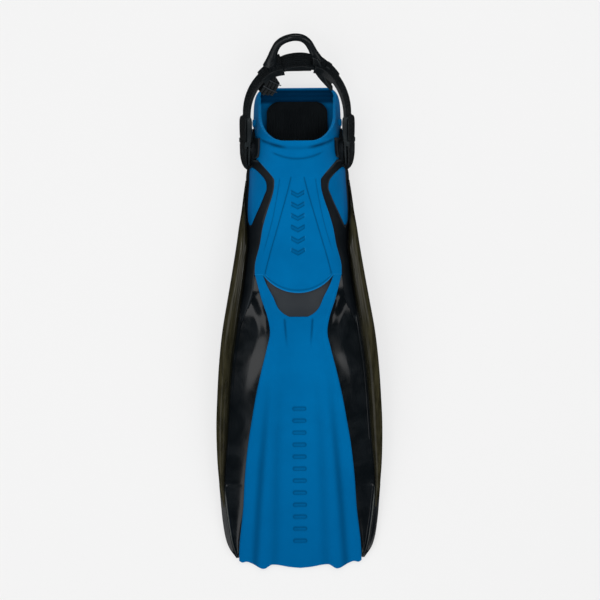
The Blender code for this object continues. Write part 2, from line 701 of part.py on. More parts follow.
def buckle_body(label, side):
    """The buckle's inner frame: a channel for the strap behind the post and a thin plate ahead of it."""
    body = block(
        f"{label}_buckle_frame", side,
        [
            (BUCKLE_FRONT_V, -1.5, 0.4, 6.5), (-20, -1.8, 0.9, 8.5), (-8, -1.9, 1.0, 11.5), (4, -1.9, 1.0, 13.8),
            (BUCKLE_STEP_V - 0.4, -2.4, 1.0, 14.3), (BUCKLE_STEP_V, -3.2, 3.3, 14.5), (20, -4.8, 3.3, 14.6),
            (32, -5.25, 3.3, 14.6), (BUCKLE_REAR_V, -5.0, 3.2, 14.2),
        ],
        "buckle_polymer",
    )
    hub = turned(
        f"{label}_hub_tool", [(HUB_FACE_X, HUB_RADIUS - 0.6), (HUB_FACE_X + 0.6, HUB_RADIUS), (HUB_OUTER_X - 0.3, HUB_RADIUS)],
        (0, POST_Y, POST_Z), (side, 0, 0), "buckle_polymer",
    )
    cut(body, hub, "UNION")
    for end in (-1, 1):
        lug = block(
            f"{label}_lug_tool_{'top' if end > 0 else 'bottom'}", side,
            [(LEVER_PIN_V - 2.6, 0.2, 6.0, 1.2), (BUCKLE_STEP_V + 0.6, 0.2, 6.0, 1.2)],
            "buckle_polymer",
        )
        lug.data.transform(Matrix.Translation(lean_axis(side) * 13.2 * end * MM))
        cut(body, lug, "UNION")
    channel = block(
        f"{label}_strap_channel_tool", side,
        [(v, STRAP_OFFSET - STRAP_THICK / 2 - GAP, STRAP_OFFSET + STRAP_THICK / 2 + GAP, STRAP_HIGH / 2 + GAP)
         for v in (STRAP_TAIL_V - GAP, BUCKLE_REAR_V + 5)],
        "buckle_polymer", power=0.12,
    )
    cut(body, channel)
    post_hole = turned(
        f"{label}_post_hole_tool",
        [(55, POST_RADIUS + RUNNING_FIT), (HUB_OUTER_X, POST_RADIUS + RUNNING_FIT), (HUB_OUTER_X + 0.01, 5.6), (72, 5.6)],
        (0, POST_Y, POST_Z), (side, 0, 0), "buckle_polymer",
    )
    cut(body, post_hole)
    cut(body, pin_hole_tool(label, side, "frame"))
    return body


def pin_hole_tool(label, side, use):
    radius = PIN_RADIUS + RUNNING_FIT
    stations = [(-18, radius), (18, radius)]
    return turned(f"{label}_{use}_pin_hole_tool", stations, pin_centre(side), lean_axis(side), "steel", count=12)


def buckle_cover(label, side):
    """The outer shell over the strap channel."""
    return block(
        f"{label}_buckle_cover", side,
        [(BUCKLE_STEP_V + 1.2, 3.6, 4.9, 13.2), (18, 3.6, 5.3, 14.4), (30, 3.6, 5.5, 14.6), (42, 3.6, 5.1, 13.8)],
        "buckle_polymer",
    )


def release_lever(label, side):
    """The lever over the post; it swings outwards on its pin to free the strap."""
    lever = block(
        f"{label}_release_lever", side,
        [
            (LEVER_FRONT_V, 2.9, 4.4, 7.0), (-22, 2.7, 5.2, 9.5), (-8, 2.7, 5.6, 12.5), (4.5, 2.7, 5.4, 14.2),
            (5.3, 2.0, 6.0, 11.5), (LEVER_REAR_V, 2.0, 6.0, 11.5),
        ],
        "buckle_polymer",
    )
    cut(lever, pin_hole_tool(label, side, "lever"))
    return lever


def lever_pin(label, side):
    return turned(f"{label}_lever_pin", [(-14.2, PIN_RADIUS), (14.2, PIN_RADIUS)], pin_centre(side), lean_axis(side), "steel", count=12)


def lever_spring(label, side):
    """A thin leaf that pushes the lever's front end outwards to its stop."""
    rings = []
    for v, n in ((-20, 1.45), (-17, 1.9), (-13, 2.1), (-9, 1.75), (-7.5, 1.4)):
        rings.append([buckle_frame_point(side, a, v, b) for a, b in ((n, -4), (n + 0.35, -4), (n + 0.35, 4), (n, 4))])
    return loft(f"{label}_lever_spring", rings, "steel")


def buckle_post(label, side):
    """The pivot post in the chassis boss."""
    stations = [(55.0, POST_RADIUS), (HUB_OUTER_X + 0.2, POST_RADIUS), (HUB_OUTER_X + 0.21, 2.6), (67.1, 2.6), (67.4, 2.2)]
    return turned(f"{label}_post", stations, (0, POST_Y, POST_Z), (side, 0, 0), "steel")


def post_clip(label, side):
    """The retaining ring on the post's neck."""
    grids = []
    for radius in (5.2, 2.9):
        rows = []
        for x in (66.2, 67.0):
            turn = [2 * math.pi * n / 16 for n in range(16)]
            rows.append([(side * x, POST_Y + radius * math.cos(t), POST_Z + radius * math.sin(t)) for t in turn])
        grids.append(rows)
    return slab(f"{label}_post_clip", grids[0], grids[1], "steel", wrap=True)


# ---- strap ---------------------------------------------------------------------------------------------------------

def strap_path(turn):
    """Place and outward direction of the strap's middle line; turn runs from 0 on the right to pi on the left."""
    half = BUCKLE_X + STRAP_OFFSET * math.cos(STRAP_LEAN)

    def place(a):
        x = half * math.cos(a)
        return np.array([x, STRAP_BEND_V + STRAP_DEPTH * math.sin(a) + STRAP_SKEW * x * math.sin(a) ** 2])

    before, after = place(turn - 0.01), place(turn + 0.01)
    along = (after - before) / np.linalg.norm(after - before)
    return place(turn), np.array([along[1], -along[0]])


def strap_section(middle_point, outward, half_thick, half_high, shift=0.0, corner=1.0):
    """A rectangle with cut corners across the strap, leaning in at the top."""
    corners = []
    for a, b in ((1, 1), (1, -1), (-1, -1), (-1, 1)):
        first = (a * half_thick, b * (half_high - corner))
        second = (a * (half_thick - corner), b * half_high)
        corners += [second, first] if a * b > 0 else [first, second]
    ring = []
    for n, w in corners:
        n += shift
        flat = n * math.cos(STRAP_LEAN) - w * math.sin(STRAP_LEAN)
        up = n * math.sin(STRAP_LEAN) + w * math.cos(STRAP_LEAN)
        x, v = middle_point + outward * flat
        ring.append(strap_frame(x, v, up))
    return ring


def strap_high(turn):
    """Height of the band: it widens behind the heel."""
    return STRAP_HIGH + (HEEL_HIGH - STRAP_HIGH) * smooth_step((math.degrees(turn) - 66) / 12) * smooth_step(
        (116 - math.degrees(turn)) / 12
    )


def heel_strap():
    """The rubber band between the buckles, with straight tails inside them."""
    half = BUCKLE_X + STRAP_OFFSET * math.cos(STRAP_LEAN)
    right, left = np.array([1.0, 0.0]), np.array([-1.0, 0.0])
    rings = [strap_section(np.array([half, v]), right, STRAP_THICK / 2, STRAP_HIGH / 2) for v in (STRAP_TAIL_V, 30)]
    for n in range(STRAP_STEPS + 1):
        turn = math.pi * n / STRAP_STEPS
        place, outward = strap_path(turn)
        rings.append(strap_section(place, outward, STRAP_THICK / 2, strap_high(turn) / 2))
    rings += [strap_section(np.array([-half, v]), left, STRAP_THICK / 2, STRAP_HIGH / 2) for v in (30, STRAP_TAIL_V)]
    return loft("heel_strap", rings, "black_rubber")


def heel_pad():
    """The cushion on the inner face of the band, against the heel."""
    rings = []
    for n in range(11):
        share = n / 10
        turn = math.radians(71 + 32 * share)
        place, outward = strap_path(turn)
        thick = 1.2 + 0.7 * math.sin(math.pi * share)
        high = 15 + 2 * math.sin(math.pi * share)
        rings.append(strap_section(place, outward, thick, high, shift=-STRAP_THICK / 2 - GAP - thick, corner=0.8))
    return loft("heel_pad", rings, "black_rubber")


LOOP_BAR = (5.0, 4.2)  # half-widths of the loop's bar, across and up
LOOP_LEFT, LOOP_RIGHT = math.radians(121), math.radians(65)  # where its ends meet the strap
LOOP_ROOT = 4.2  # how far from the band's middle line the bar starts
LEFT_SLEEVE, RIGHT_SLEEVE = (19, 24), (7, 12)  # first and last ring of the band inside each sleeve
LOOP_PLAN = (
    (-33.8, 309.5), (-32.0, 316.0), (-29.2, 325.0), (-24.5, 333.5), (-17.5, 339.0), (-8.5, 342.2), (0, 343.0),
    (8.0, 341.3), (14.5, 336.5), (19.3, 329.0), (23.2, 321.0),
)
LOOP_LIFT, LOOP_LIFT_Y = 0.25, 312.0  # rise out of the strap's plane for each millimetre behind this place


def band_length(name, first, last, wall_from, wall_to, extra_high):
    """A solid that holds the band between two of its rings, with a wall that grows from one end to the other."""
    rings = []
    for n in range(first, last + 1):
        turn = math.pi * n / STRAP_STEPS
        place, outward = strap_path(turn)
        wall = wall_from + (wall_to - wall_from) * (n - first) / (last - first)
        half_high = strap_high(turn) / 2 + wall + extra_high
        rings.append(strap_section(place, outward, STRAP_THICK / 2 + wall, half_high, corner=1.0 + wall / 6))
    return loft(name, rings, "black_rubber")


def loop_points():
    """Middle line of the loop's bar, from the left sleeve round to the right one."""
    def root(turn):
        place, outward = strap_path(turn)
        x, v = place + outward * LOOP_ROOT
        return Vector(strap_frame(x, v, 0))

    bow = []
    for x, y in LOOP_PLAN:
        v = (y - POST_Y) / math.cos(STRAP_RISE)
        height = strap_frame(x, v, LOOP_LIFT * max(0.0, y - LOOP_LIFT_Y))[2]
        bow.append(Vector((x, y, height)))
    return [root(LOOP_LEFT)] + bow + [root(LOOP_RIGHT)]


def pull_loop():
    """The finger loop: a round bar between two sleeves on the strap."""
    points = loop_points()
    rings = []
    for i, point in enumerate(points):
        along = (points[min(i + 1, len(points) - 1)] - points[max(i - 1, 0)]).normalized()
        across = along.cross(Vector((0, 0, 1))).normalized()
        up = across.cross(along)
        turns = [2 * math.pi * n / 10 for n in range(10)]
        rings.append([point + across * LOOP_BAR[0] * math.cos(t) + up * LOOP_BAR[1] * math.sin(t) for t in turns])
    bar = loft("pull_loop", rings, "black_rubber")
    for label, (first, last), walls, extra in (("left", LEFT_SLEEVE, (2.8, 3.7), 1.0), ("right", RIGHT_SLEEVE, (1.5, 3.1), 0.0)):
        cut(bar, band_length(f"{label}_sleeve_tool", first, last, *walls, extra), "UNION")
    for label, (first, last) in (("left", LEFT_SLEEVE), ("right", RIGHT_SLEEVE)):
        cut(bar, band_length(f"{label}_band_tool", first - 1, last + 1, GAP, GAP, 0.0))
    return bar


def main():
    for old in list(bpy.data.objects):
        bpy.data.objects.remove(old)
    chassis()
    foot_pocket()
    footbed()
    tread("heel_tread", 192.0, SOLE_END_Y, 33.0, 7)
    tread("ball_tread", 52.0, 132.0, 46.0, 8)
    make_vent_panel()
    blade_channel()
    for part in (heel_strap(), heel_pad(), pull_loop()):
        put_origin(part, buckle_frame_point(-1, STRAP_OFFSET, STRAP_TAIL_V, 0))
    for label, side in SIDES:
        gusset(label, side)
        side_web(label, side)
        rail(label, side)
        buckle_post(label, side)
        post_clip(label, side)
        for part in (buckle_body, buckle_cover, lever_pin, lever_spring):
            put_origin(part(label, side), (side * BUCKLE_X, POST_Y, POST_Z))
        put_origin(release_lever(label, side), pin_centre(side))


main()
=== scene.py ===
"""Looks for the open-heel swim fin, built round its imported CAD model.

Lengths are millimetres in the row frame (+Y to the heel, +Z up), and meshes are made in metres. Each visible
piece is rebuilt at high resolution from the same section curves as the CAD, with relief of its own, and rides
on the same body.
"""

import math

import bmesh
import bpy
import numpy as np
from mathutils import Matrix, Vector


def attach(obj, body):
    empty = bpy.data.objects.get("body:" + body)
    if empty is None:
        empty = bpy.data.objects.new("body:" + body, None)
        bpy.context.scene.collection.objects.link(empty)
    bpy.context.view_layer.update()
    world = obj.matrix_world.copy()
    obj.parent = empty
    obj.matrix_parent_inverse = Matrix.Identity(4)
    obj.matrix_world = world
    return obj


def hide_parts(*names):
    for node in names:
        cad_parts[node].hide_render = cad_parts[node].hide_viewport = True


MM = 0.001
GAP = 0.3
WELD = 2e-6  # metres
SHARP_ANGLE = math.radians(40)
SIDES = (("left", -1), ("right", 1))

# Overall layout along the fin.
TIP_Y, HEEL_Y = -348.0, 277.0
TOE_Y, SPEAR_Y = 34.0, -39.0
SOLE_END_Y, SOLE_SLOPE = 256.0, 0.12
RAIL_START_Y, RAIL_END_Y, RAIL_TAIL_Y = 157.0, -238.0, -268.0
WINDOW_START_Y, WINDOW_END_Y = 96.0, 177.5
BAND_END_Y, ARM_START_Y, WALL_END_Y, ARM_END_Y = 183.5, 187.0, 190.0, 212.0
RECESS_END_Y, RECESS_FADE = 178.0, 10.0

# Heights and walls.
CHASSIS_BOTTOM, FLOOR_THICKNESS = 3.0, 6.0
POCKET_FLOOR, FOOTBED_THICKNESS, UNDER_POCKET = 2.7, 4.0, 0.6
SHELL, HIDDEN_GAP, RIM_WALL, LINER = 2.7, 1.0, 4.0, 2.3
RECESS = SHELL + HIDDEN_GAP
WEB_THICKNESS = 2.6
ARCH_X, ARCH_Z, FLOOR_POWER = 2.4, 2.2, 4.5

# Strap and buckles.
POST_Y, POST_Z = 198.0, 51.5
POST = (0, POST_Y, POST_Z)
STRAP_RISE, STRAP_LEAN = math.radians(13), math.radians(15)
BUCKLE_X, STRAP_OFFSET = 66.2, -0.9
STRAP_HALF = BUCKLE_X + STRAP_OFFSET * math.cos(STRAP_LEAN)
STRAP_THICK, STRAP_HIGH, HEEL_HIGH = 4.6, 24.0, 40.0
STRAP_TAIL_V, STRAP_BEND_V, STRAP_DEPTH, STRAP_SKEW = 14.4, 46.0, 71.0, 0.07
LEVER_PIN_V = 8.8
BOSS_RADIUS = 10.5
BOSS_STATIONS = ((55.8, BOSS_RADIUS - 2), (56.0, BOSS_RADIUS), (60.2, BOSS_RADIUS))
HUB_STATIONS = ((60.7, 9.2), (61.5, 10.0), (65.4, 10.0))

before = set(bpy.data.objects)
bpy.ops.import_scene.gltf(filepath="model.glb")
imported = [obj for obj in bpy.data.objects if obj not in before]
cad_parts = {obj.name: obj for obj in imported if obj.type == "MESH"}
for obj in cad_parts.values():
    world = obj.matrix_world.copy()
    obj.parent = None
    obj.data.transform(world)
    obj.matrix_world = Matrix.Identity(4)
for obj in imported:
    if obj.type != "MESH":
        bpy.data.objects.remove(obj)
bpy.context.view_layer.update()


# ---- curves and sections ----

def curve(*points):
    """A smooth function through (place, value) points in rising order, with no overshoot between them."""
    ys = np.array([p[0] for p in points], float)
    vs = np.array([p[1] for p in points], float)
    gaps = np.diff(ys)
    slopes = np.diff(vs) / gaps
    tangents = np.concatenate([slopes[:1], (slopes[1:] + slopes[:-1]) / 2, slopes[-1:]])
    for i in range(1, len(slopes)):
        if slopes[i - 1] * slopes[i] <= 0:
            tangents[i] = 0
        else:
            limit = 3 * min(abs(slopes[i - 1]), abs(slopes[i]))
            tangents[i] = math.copysign(min(abs(tangents[i]), limit), tangents[i])

    def at(y):
        y = np.clip(np.asarray(y, float), ys[0], ys[-1])
        i = np.minimum(np.searchsorted(ys, y, side="right") - 1, len(gaps) - 1)
        t, h = (y - ys[i]) / gaps[i], gaps[i]
        ends = vs[i] * (1 + 2 * t) * (1 - t) ** 2 + vs[i + 1] * t * t * (3 - 2 * t)
        return ends + h * (tangents[i] * t * (1 - t) ** 2 - tangents[i + 1] * t * t * (1 - t))

    return at


outline = curve(
    (-337, 80.6), (-331, 85), (-321, 92), (-311, 96), (-290, 100), (-248, 104), (-207, 107),
    (-165, 108), (-124, 106.6), (-82, 104), (-40, 99.5), (1, 92.5), (32, 87), (74, 80), (124, 72.5),
)
skin_width = curve(
    (-337, 79.5), (-321, 85.8), (-290, 91.6), (-259, 95.6), (-238, 97.3), (-217, 96.5), (-186, 93.5),
    (-124, 89.5), (-82, 86), (-40, 80), (1, 74), (32, 69.5), (53, 67), (74, 64.8), (96, 66.5),
    (116, 69), (136, 69.5), (152, 67.4), (171, 65.5), (180, 60), (190, 57), (205, 56.5), (240, 56),
    (262, 54), (271, 50.5), (277, 44),
)
channel_edge = curve(
    (-337, 80.4), (-311, 78.6), (-269, 74), (-228, 71.5), (-186, 67), (-155, 62), (-124, 56.5),
    (-92, 49.4), (-61, 41.6), (-40, 37.5), (-19, 41), (1, 47.7), (22, 53.3), (34, 56.3),
)
vent_edge = curve((-20.5, 12), (-18, 17), (-11, 25), (5, 32.8), (22, 41.5), (34, 46))
vamp_edge = curve(
    (34, 56.3), (43, 56.3), (74, 49.4), (96, 45.5), (116, 39.7), (136, 33), (147, 30.5), (157, 30),
    (165, 35), (175, 43.6), (184, 51), (188, 52.5),
)
spear_edge = curve((-39, 79.2), (-12, 68), (13, 59.5), (34, 57.2))
band_edge = curve(
    (96, 61.5), (116, 52.7), (126, 48), (137, 43.5), (147, 40), (157, 41.8), (165, 47.8), (171, 54),
    (177.5, 60), (184, 52), (190, 49), (212, 47.5),
)
gusset_edge = curve(
    (96, 61.5), (105, 65), (116, 65.3), (157, 63), (173, 62), (177.5, 60), (184, 52), (190, 49), (212, 47.5)
)
middle = curve(
    (-348, 2.2), (-200, 25), (-100, 39.5), (-39, 45.5), (0, 47.5), (34, 46), (60, 44), (100, 40),
    (150, 35.5), (205, 30.5), (240, 25), (262, 21.5), (277, 21),
)
crown = curve(
    (-348, 3.8), (-200, 28.5), (-100, 43.5), (-40, 50), (-20, 54.5), (-5, 62), (10, 69), (34, 71.6),
    (60, 73), (100, 75.7), (150, 80.5), (192, 86), (208, 86), (220, 79), (240, 61), (262, 40), (277, 23),
)
rail_outline = curve(
    (-237.5, 104.7), (-207, 107), (-165, 108), (-124, 106.6), (-82, 104), (-40, 99.5), (1, 92.5), (32, 87),
    (74, 80), (96, 76.8), (116, 73.4), (136, 70.7), (157, 67.6),
)
rail_middle = curve((-348, 2.5), (-200, 26), (-100, 42.5), (-40, 49), (0, 50), (74, 47), (122, 48))
rail_half_height = curve((-238, 6.5), (-165, 9.5), (-80, 14), (0, 17), (74, 15.5), (122, 6))
tip_edge = curve(
    (0, -347.0), (15, -345.5), (30, -342.8), (36, -342.5), (47.8, TIP_Y), (63.7, -340.4), (70, -338.5),
    (75.4, -339.5), (81, -336),
)
lobe_place = curve((-348, 47.8), (-200, 41), (-40, 28))
lobe_share = curve((-348, 0.8), (-200, 1), (-60, 0.6), (-25, 0))
valley_place = curve((-348, 59.5), (-240, 52), (-60, 36))
inner_valley_place = curve((-348, 33), (-200, 28), (-60, 20))
pad_edge = curve((30, 44), (38, 42.5), (104, 24), (157, 9.4), (170, 7))
strake_edge = curve((60, 46), (104, 33.5), (157, 23.5), (170, 22))
chassis_wall = curve((SPEAR_Y, 0.7), (-12, SHELL))
LOBE_WIDTH, LOBE_HEIGHT = 11.0, 3.0
LIP_RADIUS, LIP_CENTRE_Y, LIP_HALF = 56.1, 66.5, 46.0


def sole(y):
    return SOLE_SLOPE * (SOLE_END_Y - y)


def smooth_step(t):
    t = np.clip(t, 0.0, 1.0)
    return t * t * (3 - 2 * t)


def within(value, start, end, rise, fall=None):
    """1 between start and end, with soft ends of the given lengths inside them."""
    return smooth_step((value - start) / rise) * smooth_step((end - value) / (fall or rise))


def bell(d, width):
    return np.exp(-((d / width) ** 2))


def from_nearest(value, pitch):
    """Signed distance to the nearest multiple of the pitch."""
    return np.mod(value + pitch / 2, pitch) - pitch / 2


def recess(y):
    """How far the pocket is set back under the chassis."""
    return RECESS * (1 - smooth_step((y - RECESS_END_Y) / RECESS_FADE))


def arch_angle(x, y):
    return np.arccos(np.minimum(1.0, np.abs(x) / skin_width(y)) ** (ARCH_X / 2))


def arch_point(y, angle, grow=0.0):
    """x and z on the upper half of the section, moved outwards along the arch's normal."""
    width, height = skin_width(y), crown(y) - middle(y)
    c, s = np.maximum(0.0, np.cos(angle)), np.maximum(0.0, np.sin(angle))
    x, z = width * c ** (2 / ARCH_X), height * s ** (2 / ARCH_Z)
    nx = ARCH_X / width * (x / width) ** (ARCH_X - 1)
    nz = ARCH_Z / height * (z / height) ** (ARCH_Z - 1)
    length = np.hypot(nx, nz)
    return x + grow * nx / length, middle(y) + z + grow * nz / length


def floor_point(y, angle, grow, depth):
    """x and z on the lower half of the section, which is nearly flat."""
    x = (skin_width(y) + grow) * np.maximum(0.0, np.cos(angle)) ** (2 / FLOOR_POWER)
    return x, middle(y) - depth * np.sin(angle) ** (2 / FLOOR_POWER)


def skin(x, y):
    """Height of the top surface at a place seen from above."""
    share = np.minimum(1.0, np.abs(x) / skin_width(y))
    return middle(y) + (crown(y) - middle(y)) * (1 - share**ARCH_X) ** (1 / ARCH_Z)


def lip_y(x):
    """The toe lip's arc."""
    return LIP_CENTRE_Y - np.sqrt(LIP_RADIUS**2 - np.minimum(np.abs(x), LIP_HALF) ** 2)


def fine(keys, step):
    """Places through the keys, in order, no further apart than step."""
    out = [float(keys[0])]
    for a, b in zip(keys, keys[1:]):
        count = max(1, math.ceil(abs(b - a) / step))
        out += [a + (b - a) * (i + 1) / count for i in range(count)]
    return np.array(out)


def split(values, parts):
    """Each gap between neighbouring values (last axis) cut into equal parts."""
    pieces = [values[..., :1]]
    for i, count in zip(range(values.shape[-1] - 1), parts):
        a, b = values[..., i : i + 1], values[..., i + 1 : i + 2]
        pieces.append(a + (b - a) * (np.arange(count) + 1) / count)
    return np.concatenate(pieces, -1)


def stacked(*parts):
    return np.stack(np.broadcast_arrays(*parts), -1)


def around(count):
    """A row of angles once round a ring."""
    return np.linspace(0, 2 * math.pi, count, endpoint=False)[None, :]


def squared(turn, power):
    """A unit circle pushed towards a square, as its two coordinates."""
    return tuple(np.sign(t) * np.abs(t) ** power for t in (np.cos(turn), np.sin(turn)))


# ---- meshes ----

def piece(name, verts, faces, body, surface, bevel=0.0, replaces=None, segments=3):
    """Makes a cleaned object with smooth shading and rounded edges that rides on a body.

    A fourth number for each vertex, from 0 to 1, is painted shade: how far its material's colour is darkened
    there to stand in for shade.
    """
    data = bpy.data.meshes.new(name)
    data.from_pydata((verts[:, :3] * MM).tolist(), [], faces)
    # the shade numbers are painted shade, which the materials read
    if verts.shape[1] == 4:
        shade = data.attributes.new("shade", "FLOAT", "POINT").data
        shade.foreach_set("value", verts[:, 3].astype(np.float32))
    mesh = bmesh.new()
    mesh.from_mesh(data)
    bmesh.ops.remove_doubles(mesh, verts=mesh.verts, dist=WELD)
    loose = [v for v in mesh.verts if not v.link_faces]
    bmesh.ops.delete(mesh, geom=loose, context="VERTS")
    bmesh.ops.recalc_face_normals(mesh, faces=mesh.faces)
    mesh.to_mesh(data)
    mesh.free()
    data.shade_smooth()
    made = linked(name, data)
    data.materials.append(SURFACES[surface])
    if bevel:
        round_edges(made, bevel, segments)
        weigh = made.modifiers.new("shading", "WEIGHTED_NORMAL")
        weigh.keep_sharp = True
    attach(made, body)
    if replaces:
        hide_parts(replaces)
    return made


def linked(name, data):
    made = bpy.data.objects.new(name, data)
    bpy.context.scene.collection.objects.link(made)
    return made


def round_edges(made, width, segments):
    step = made.modifiers.new("rounding", "BEVEL")
    step.width, step.segments = width * MM, segments
    step.limit_method, step.angle_limit = "ANGLE", SHARP_ANGLE
    step.harden_normals = False


def slab(name, top, low, body, surface, holes=None, wrap=False, **options):
    """The closed solid between two grids of points; cells marked in holes are left out."""
    rows, columns = top.shape[:2]
    across = columns if wrap else columns - 1
    solid = np.ones((rows - 1, across), bool)
    if holes is not None:
        solid &= ~holes
    lower = rows * columns

    def at(i, j):
        return i * columns + j % columns

    def filled(i, j):
        j = j % columns if wrap else j
        return 0 <= i < rows - 1 and 0 <= j < across and solid[i, j]

    faces = []
    for i, j in zip(*np.nonzero(solid)):
        i, j = int(i), int(j)
        corners = (at(i, j), at(i, j + 1), at(i + 1, j + 1), at(i + 1, j))
        faces.append(corners)
        faces.append(tuple(lower + c for c in reversed(corners)))
        beyond = ((i - 1, j), (i, j + 1), (i + 1, j), (i, j - 1))
        for n, place in enumerate(beyond):
            if not filled(*place):
                a, b = corners[n], corners[(n + 1) % 4]
                faces.append((b, a, lower + a, lower + b))
    verts = np.concatenate([grid.reshape(lower, -1) for grid in (top, low)])
    return piece(name, verts, faces, body, surface, **options)


def side_slab(name, side, top, low, surface, **options):
    """A slab of the fin, drawn on the right and made on either side."""
    return slab(name, mirrored(top, side), mirrored(low, side), "fin", surface, **options)


def loft(name, rings, body, surface, **options):
    """The closed solid through a row of rings, with flat ends."""
    rings = np.asarray(rings)
    rows, count = rings.shape[:2]
    faces = []
    for i in range(rows - 1):
        for j in range(count):
            k = (j + 1) % count
            faces.append((i * count + j, i * count + k, (i + 1) * count + k, (i + 1) * count + j))
    faces.append(tuple(reversed(range(count))))
    faces.append(tuple((rows - 1) * count + j for j in range(count)))
    return piece(name, rings.reshape(rows * count, -1), faces, body, surface, **options)


def mirrored(points, side):
    points = np.array(points, float)
    points[..., 0] *= side
    return points


def both_halves(half):
    """Joins a grid of one half, with its last column in the middle, to its mirror image."""
    return np.concatenate([mirrored(half, -1), half[:, :-1][:, ::-1]], 1)


def turned(name, stations, centre, axis, body, surface, count=64, **options):
    """A round solid on an axis: stations are (distance along the axis, radius)."""
    axis = np.array(axis, float) / np.linalg.norm(axis)
    first = np.cross(axis, (0, 0, 1.0)) if abs(axis[2]) < 0.9 else np.cross(axis, (0, 1.0, 0))
    first /= np.linalg.norm(first)
    other = np.cross(axis, first)
    turn = around(count).T
    ring = first * np.cos(turn) + other * np.sin(turn)
    rings = [np.array(centre) + axis * along + ring * radius for along, radius in stations]
    return loft(name, rings, body, surface, **options)


# ---- materials ----

class Graph:
    """A Principled material whose colour, roughness and bump come from textures in the row frame."""

    def __init__(self, name):
        self.material = bpy.data.materials.new(name)
        self.material.use_nodes = True
        self.tree = self.material.node_tree
        self.shader = self.tree.nodes["Principled BSDF"]
        self.output = self.tree.nodes["Material Output"]
        self.place = self.tree.nodes.new("ShaderNodeTexCoord").outputs["Object"]
        self.normal = None

    def feed(self, socket, value):
        if isinstance(value, bpy.types.NodeSocket):
            self.tree.links.new(value, socket)
        elif socket.type == "RGBA" and len(value) == 3:
            socket.default_value = (*value, 1)
        else:
            socket.default_value = value

    def set(self, **inputs):
        for key, value in inputs.items():
            self.feed(self.shader.inputs[key.replace("_", " ")], value)

    def node(self, kind, inputs, output=0, **settings):
        """One output of a new node, with its inputs fed by name or number."""
        made = self.tree.nodes.new(kind)
        for key, value in settings.items():
            setattr(made, key, value)
        for key, value in inputs.items():
            self.feed(made.inputs[key], value)
        return made.outputs[output]

    def noise(self, scale, detail=3.0, roughness=0.5, stretch=None, distortion=0.0):
        place = self.place
        if stretch:
            place = self.node("ShaderNodeMapping", {"Vector": place, "Scale": stretch})
        inputs = {"Vector": place, "Scale": scale, "Detail": detail, "Roughness": roughness}
        return self.node("ShaderNodeTexNoise", {**inputs, "Distortion": distortion}, "Fac")

    def cells(self, scale):
        return self.node("ShaderNodeTexVoronoi", {"Vector": self.place, "Scale": scale}, "Distance")

    def maths(self, operation, a, b=0.0):
        return self.node("ShaderNodeMath", {0: a, 1: b}, operation=operation)

    def scaled(self, value, factor):
        return self.maths("MULTIPLY", value, factor)

    def axis(self, letter):
        return self.node("ShaderNodeSeparateXYZ", {0: self.place}, letter)

    def span(self, value, start, end, low=0.0, high=1.0):
        """Maps value from start..end to low..high, smoothly, held at both ends."""
        inputs = dict(enumerate((value, start, end, low, high)))
        return self.node("ShaderNodeMapRange", inputs, interpolation_type="SMOOTHSTEP")

    def mix(self, share, a, b):
        """A colour between two."""
        return self.node("ShaderNodeMix", {0: share, 6: a, 7: b}, 2, data_type="RGBA")

    def blend(self, share, a, b):
        """A mix of two shaders."""
        return self.node("ShaderNodeMixShader", {0: share, 1: a, 2: b})

    def edge(self, low=0.52, high=0.62):
        """1 along convex edges, from the mesh's own curvature."""
        return self.span(self.node("ShaderNodeNewGeometry", {}, "Pointiness"), low, high)

    def with_painted_shade(self, colour, dark):
        """Paints shade: darkens the colour where the mesh's shade attribute says so."""
        return self.mix(self.node("ShaderNodeAttribute", {}, "Fac", attribute_name="shade"), colour, dark)

    def bump(self, height, distance_mm, strength=1.0):
        """Adds a bump over the ones before it."""
        inputs = {"Height": height, "Distance": distance_mm * MM, "Strength": strength}
        if self.normal is not None:
            inputs["Normal"] = self.normal
        self.normal = self.node("ShaderNodeBump", inputs, "Normal")
        self.set(Normal=self.normal)

    def show(self, shader):
        self.feed(self.output.inputs["Surface"], shader)


def blue_elastomer(name="blue_elastomer", painted_side_shade=False):
    """Soft moulded blue: satin, faintly mottled, with a fine moulded grain, paler worn edges, and painted
    shade where the mesh's shade attribute says so.
    """
    g = Graph(name)
    blotch = g.noise(14, 4, 0.6)
    speck = g.noise(900, 2, 0.6)
    colour = g.mix(g.span(blotch, 0.35, 0.65), (0.0, 0.108, 0.292), (0.0, 0.122, 0.326))
    colour = g.mix(g.span(speck, 0.3, 0.7, 0.0, 0.10), colour, (0.0, 0.085, 0.25))
    tip = g.span(g.axis("Y"), TIP_Y * MM + 0.003, -0.09, 1.0, 0.0)
    colour = g.mix(g.scaled(tip, 0.6), colour, (0.0, 0.088, 0.25))
    colour = g.mix(g.scaled(g.edge(), 0.35), colour, (0.01, 0.19, 0.45))
    # painted shade: creases, grooves and the pocket's inside are darkened as the shade attribute says
    colour = g.with_painted_shade(colour, (0.0, 0.016, 0.048))
    # painted shade: on the gusset, a darker strip along its steep outer side
    if painted_side_shade:
        strip = g.span(g.maths("ABSOLUTE", g.axis("X")), 0.0585, 0.0615, 0.0, 0.55)
        colour = g.mix(strip, colour, (0.0, 0.06, 0.19))
    g.set(Base_Color=colour, Specular_IOR_Level=0.12, Specular_Tint=(0.02, 0.35, 0.9))
    g.set(Roughness=g.span(blotch, 0.3, 0.7, 0.42, 0.54))
    g.bump(g.noise(55, 3, 0.5), 0.12, 0.35)
    g.bump(g.noise(1500, 2, 0.7), 0.05, 0.5)
    return g.material


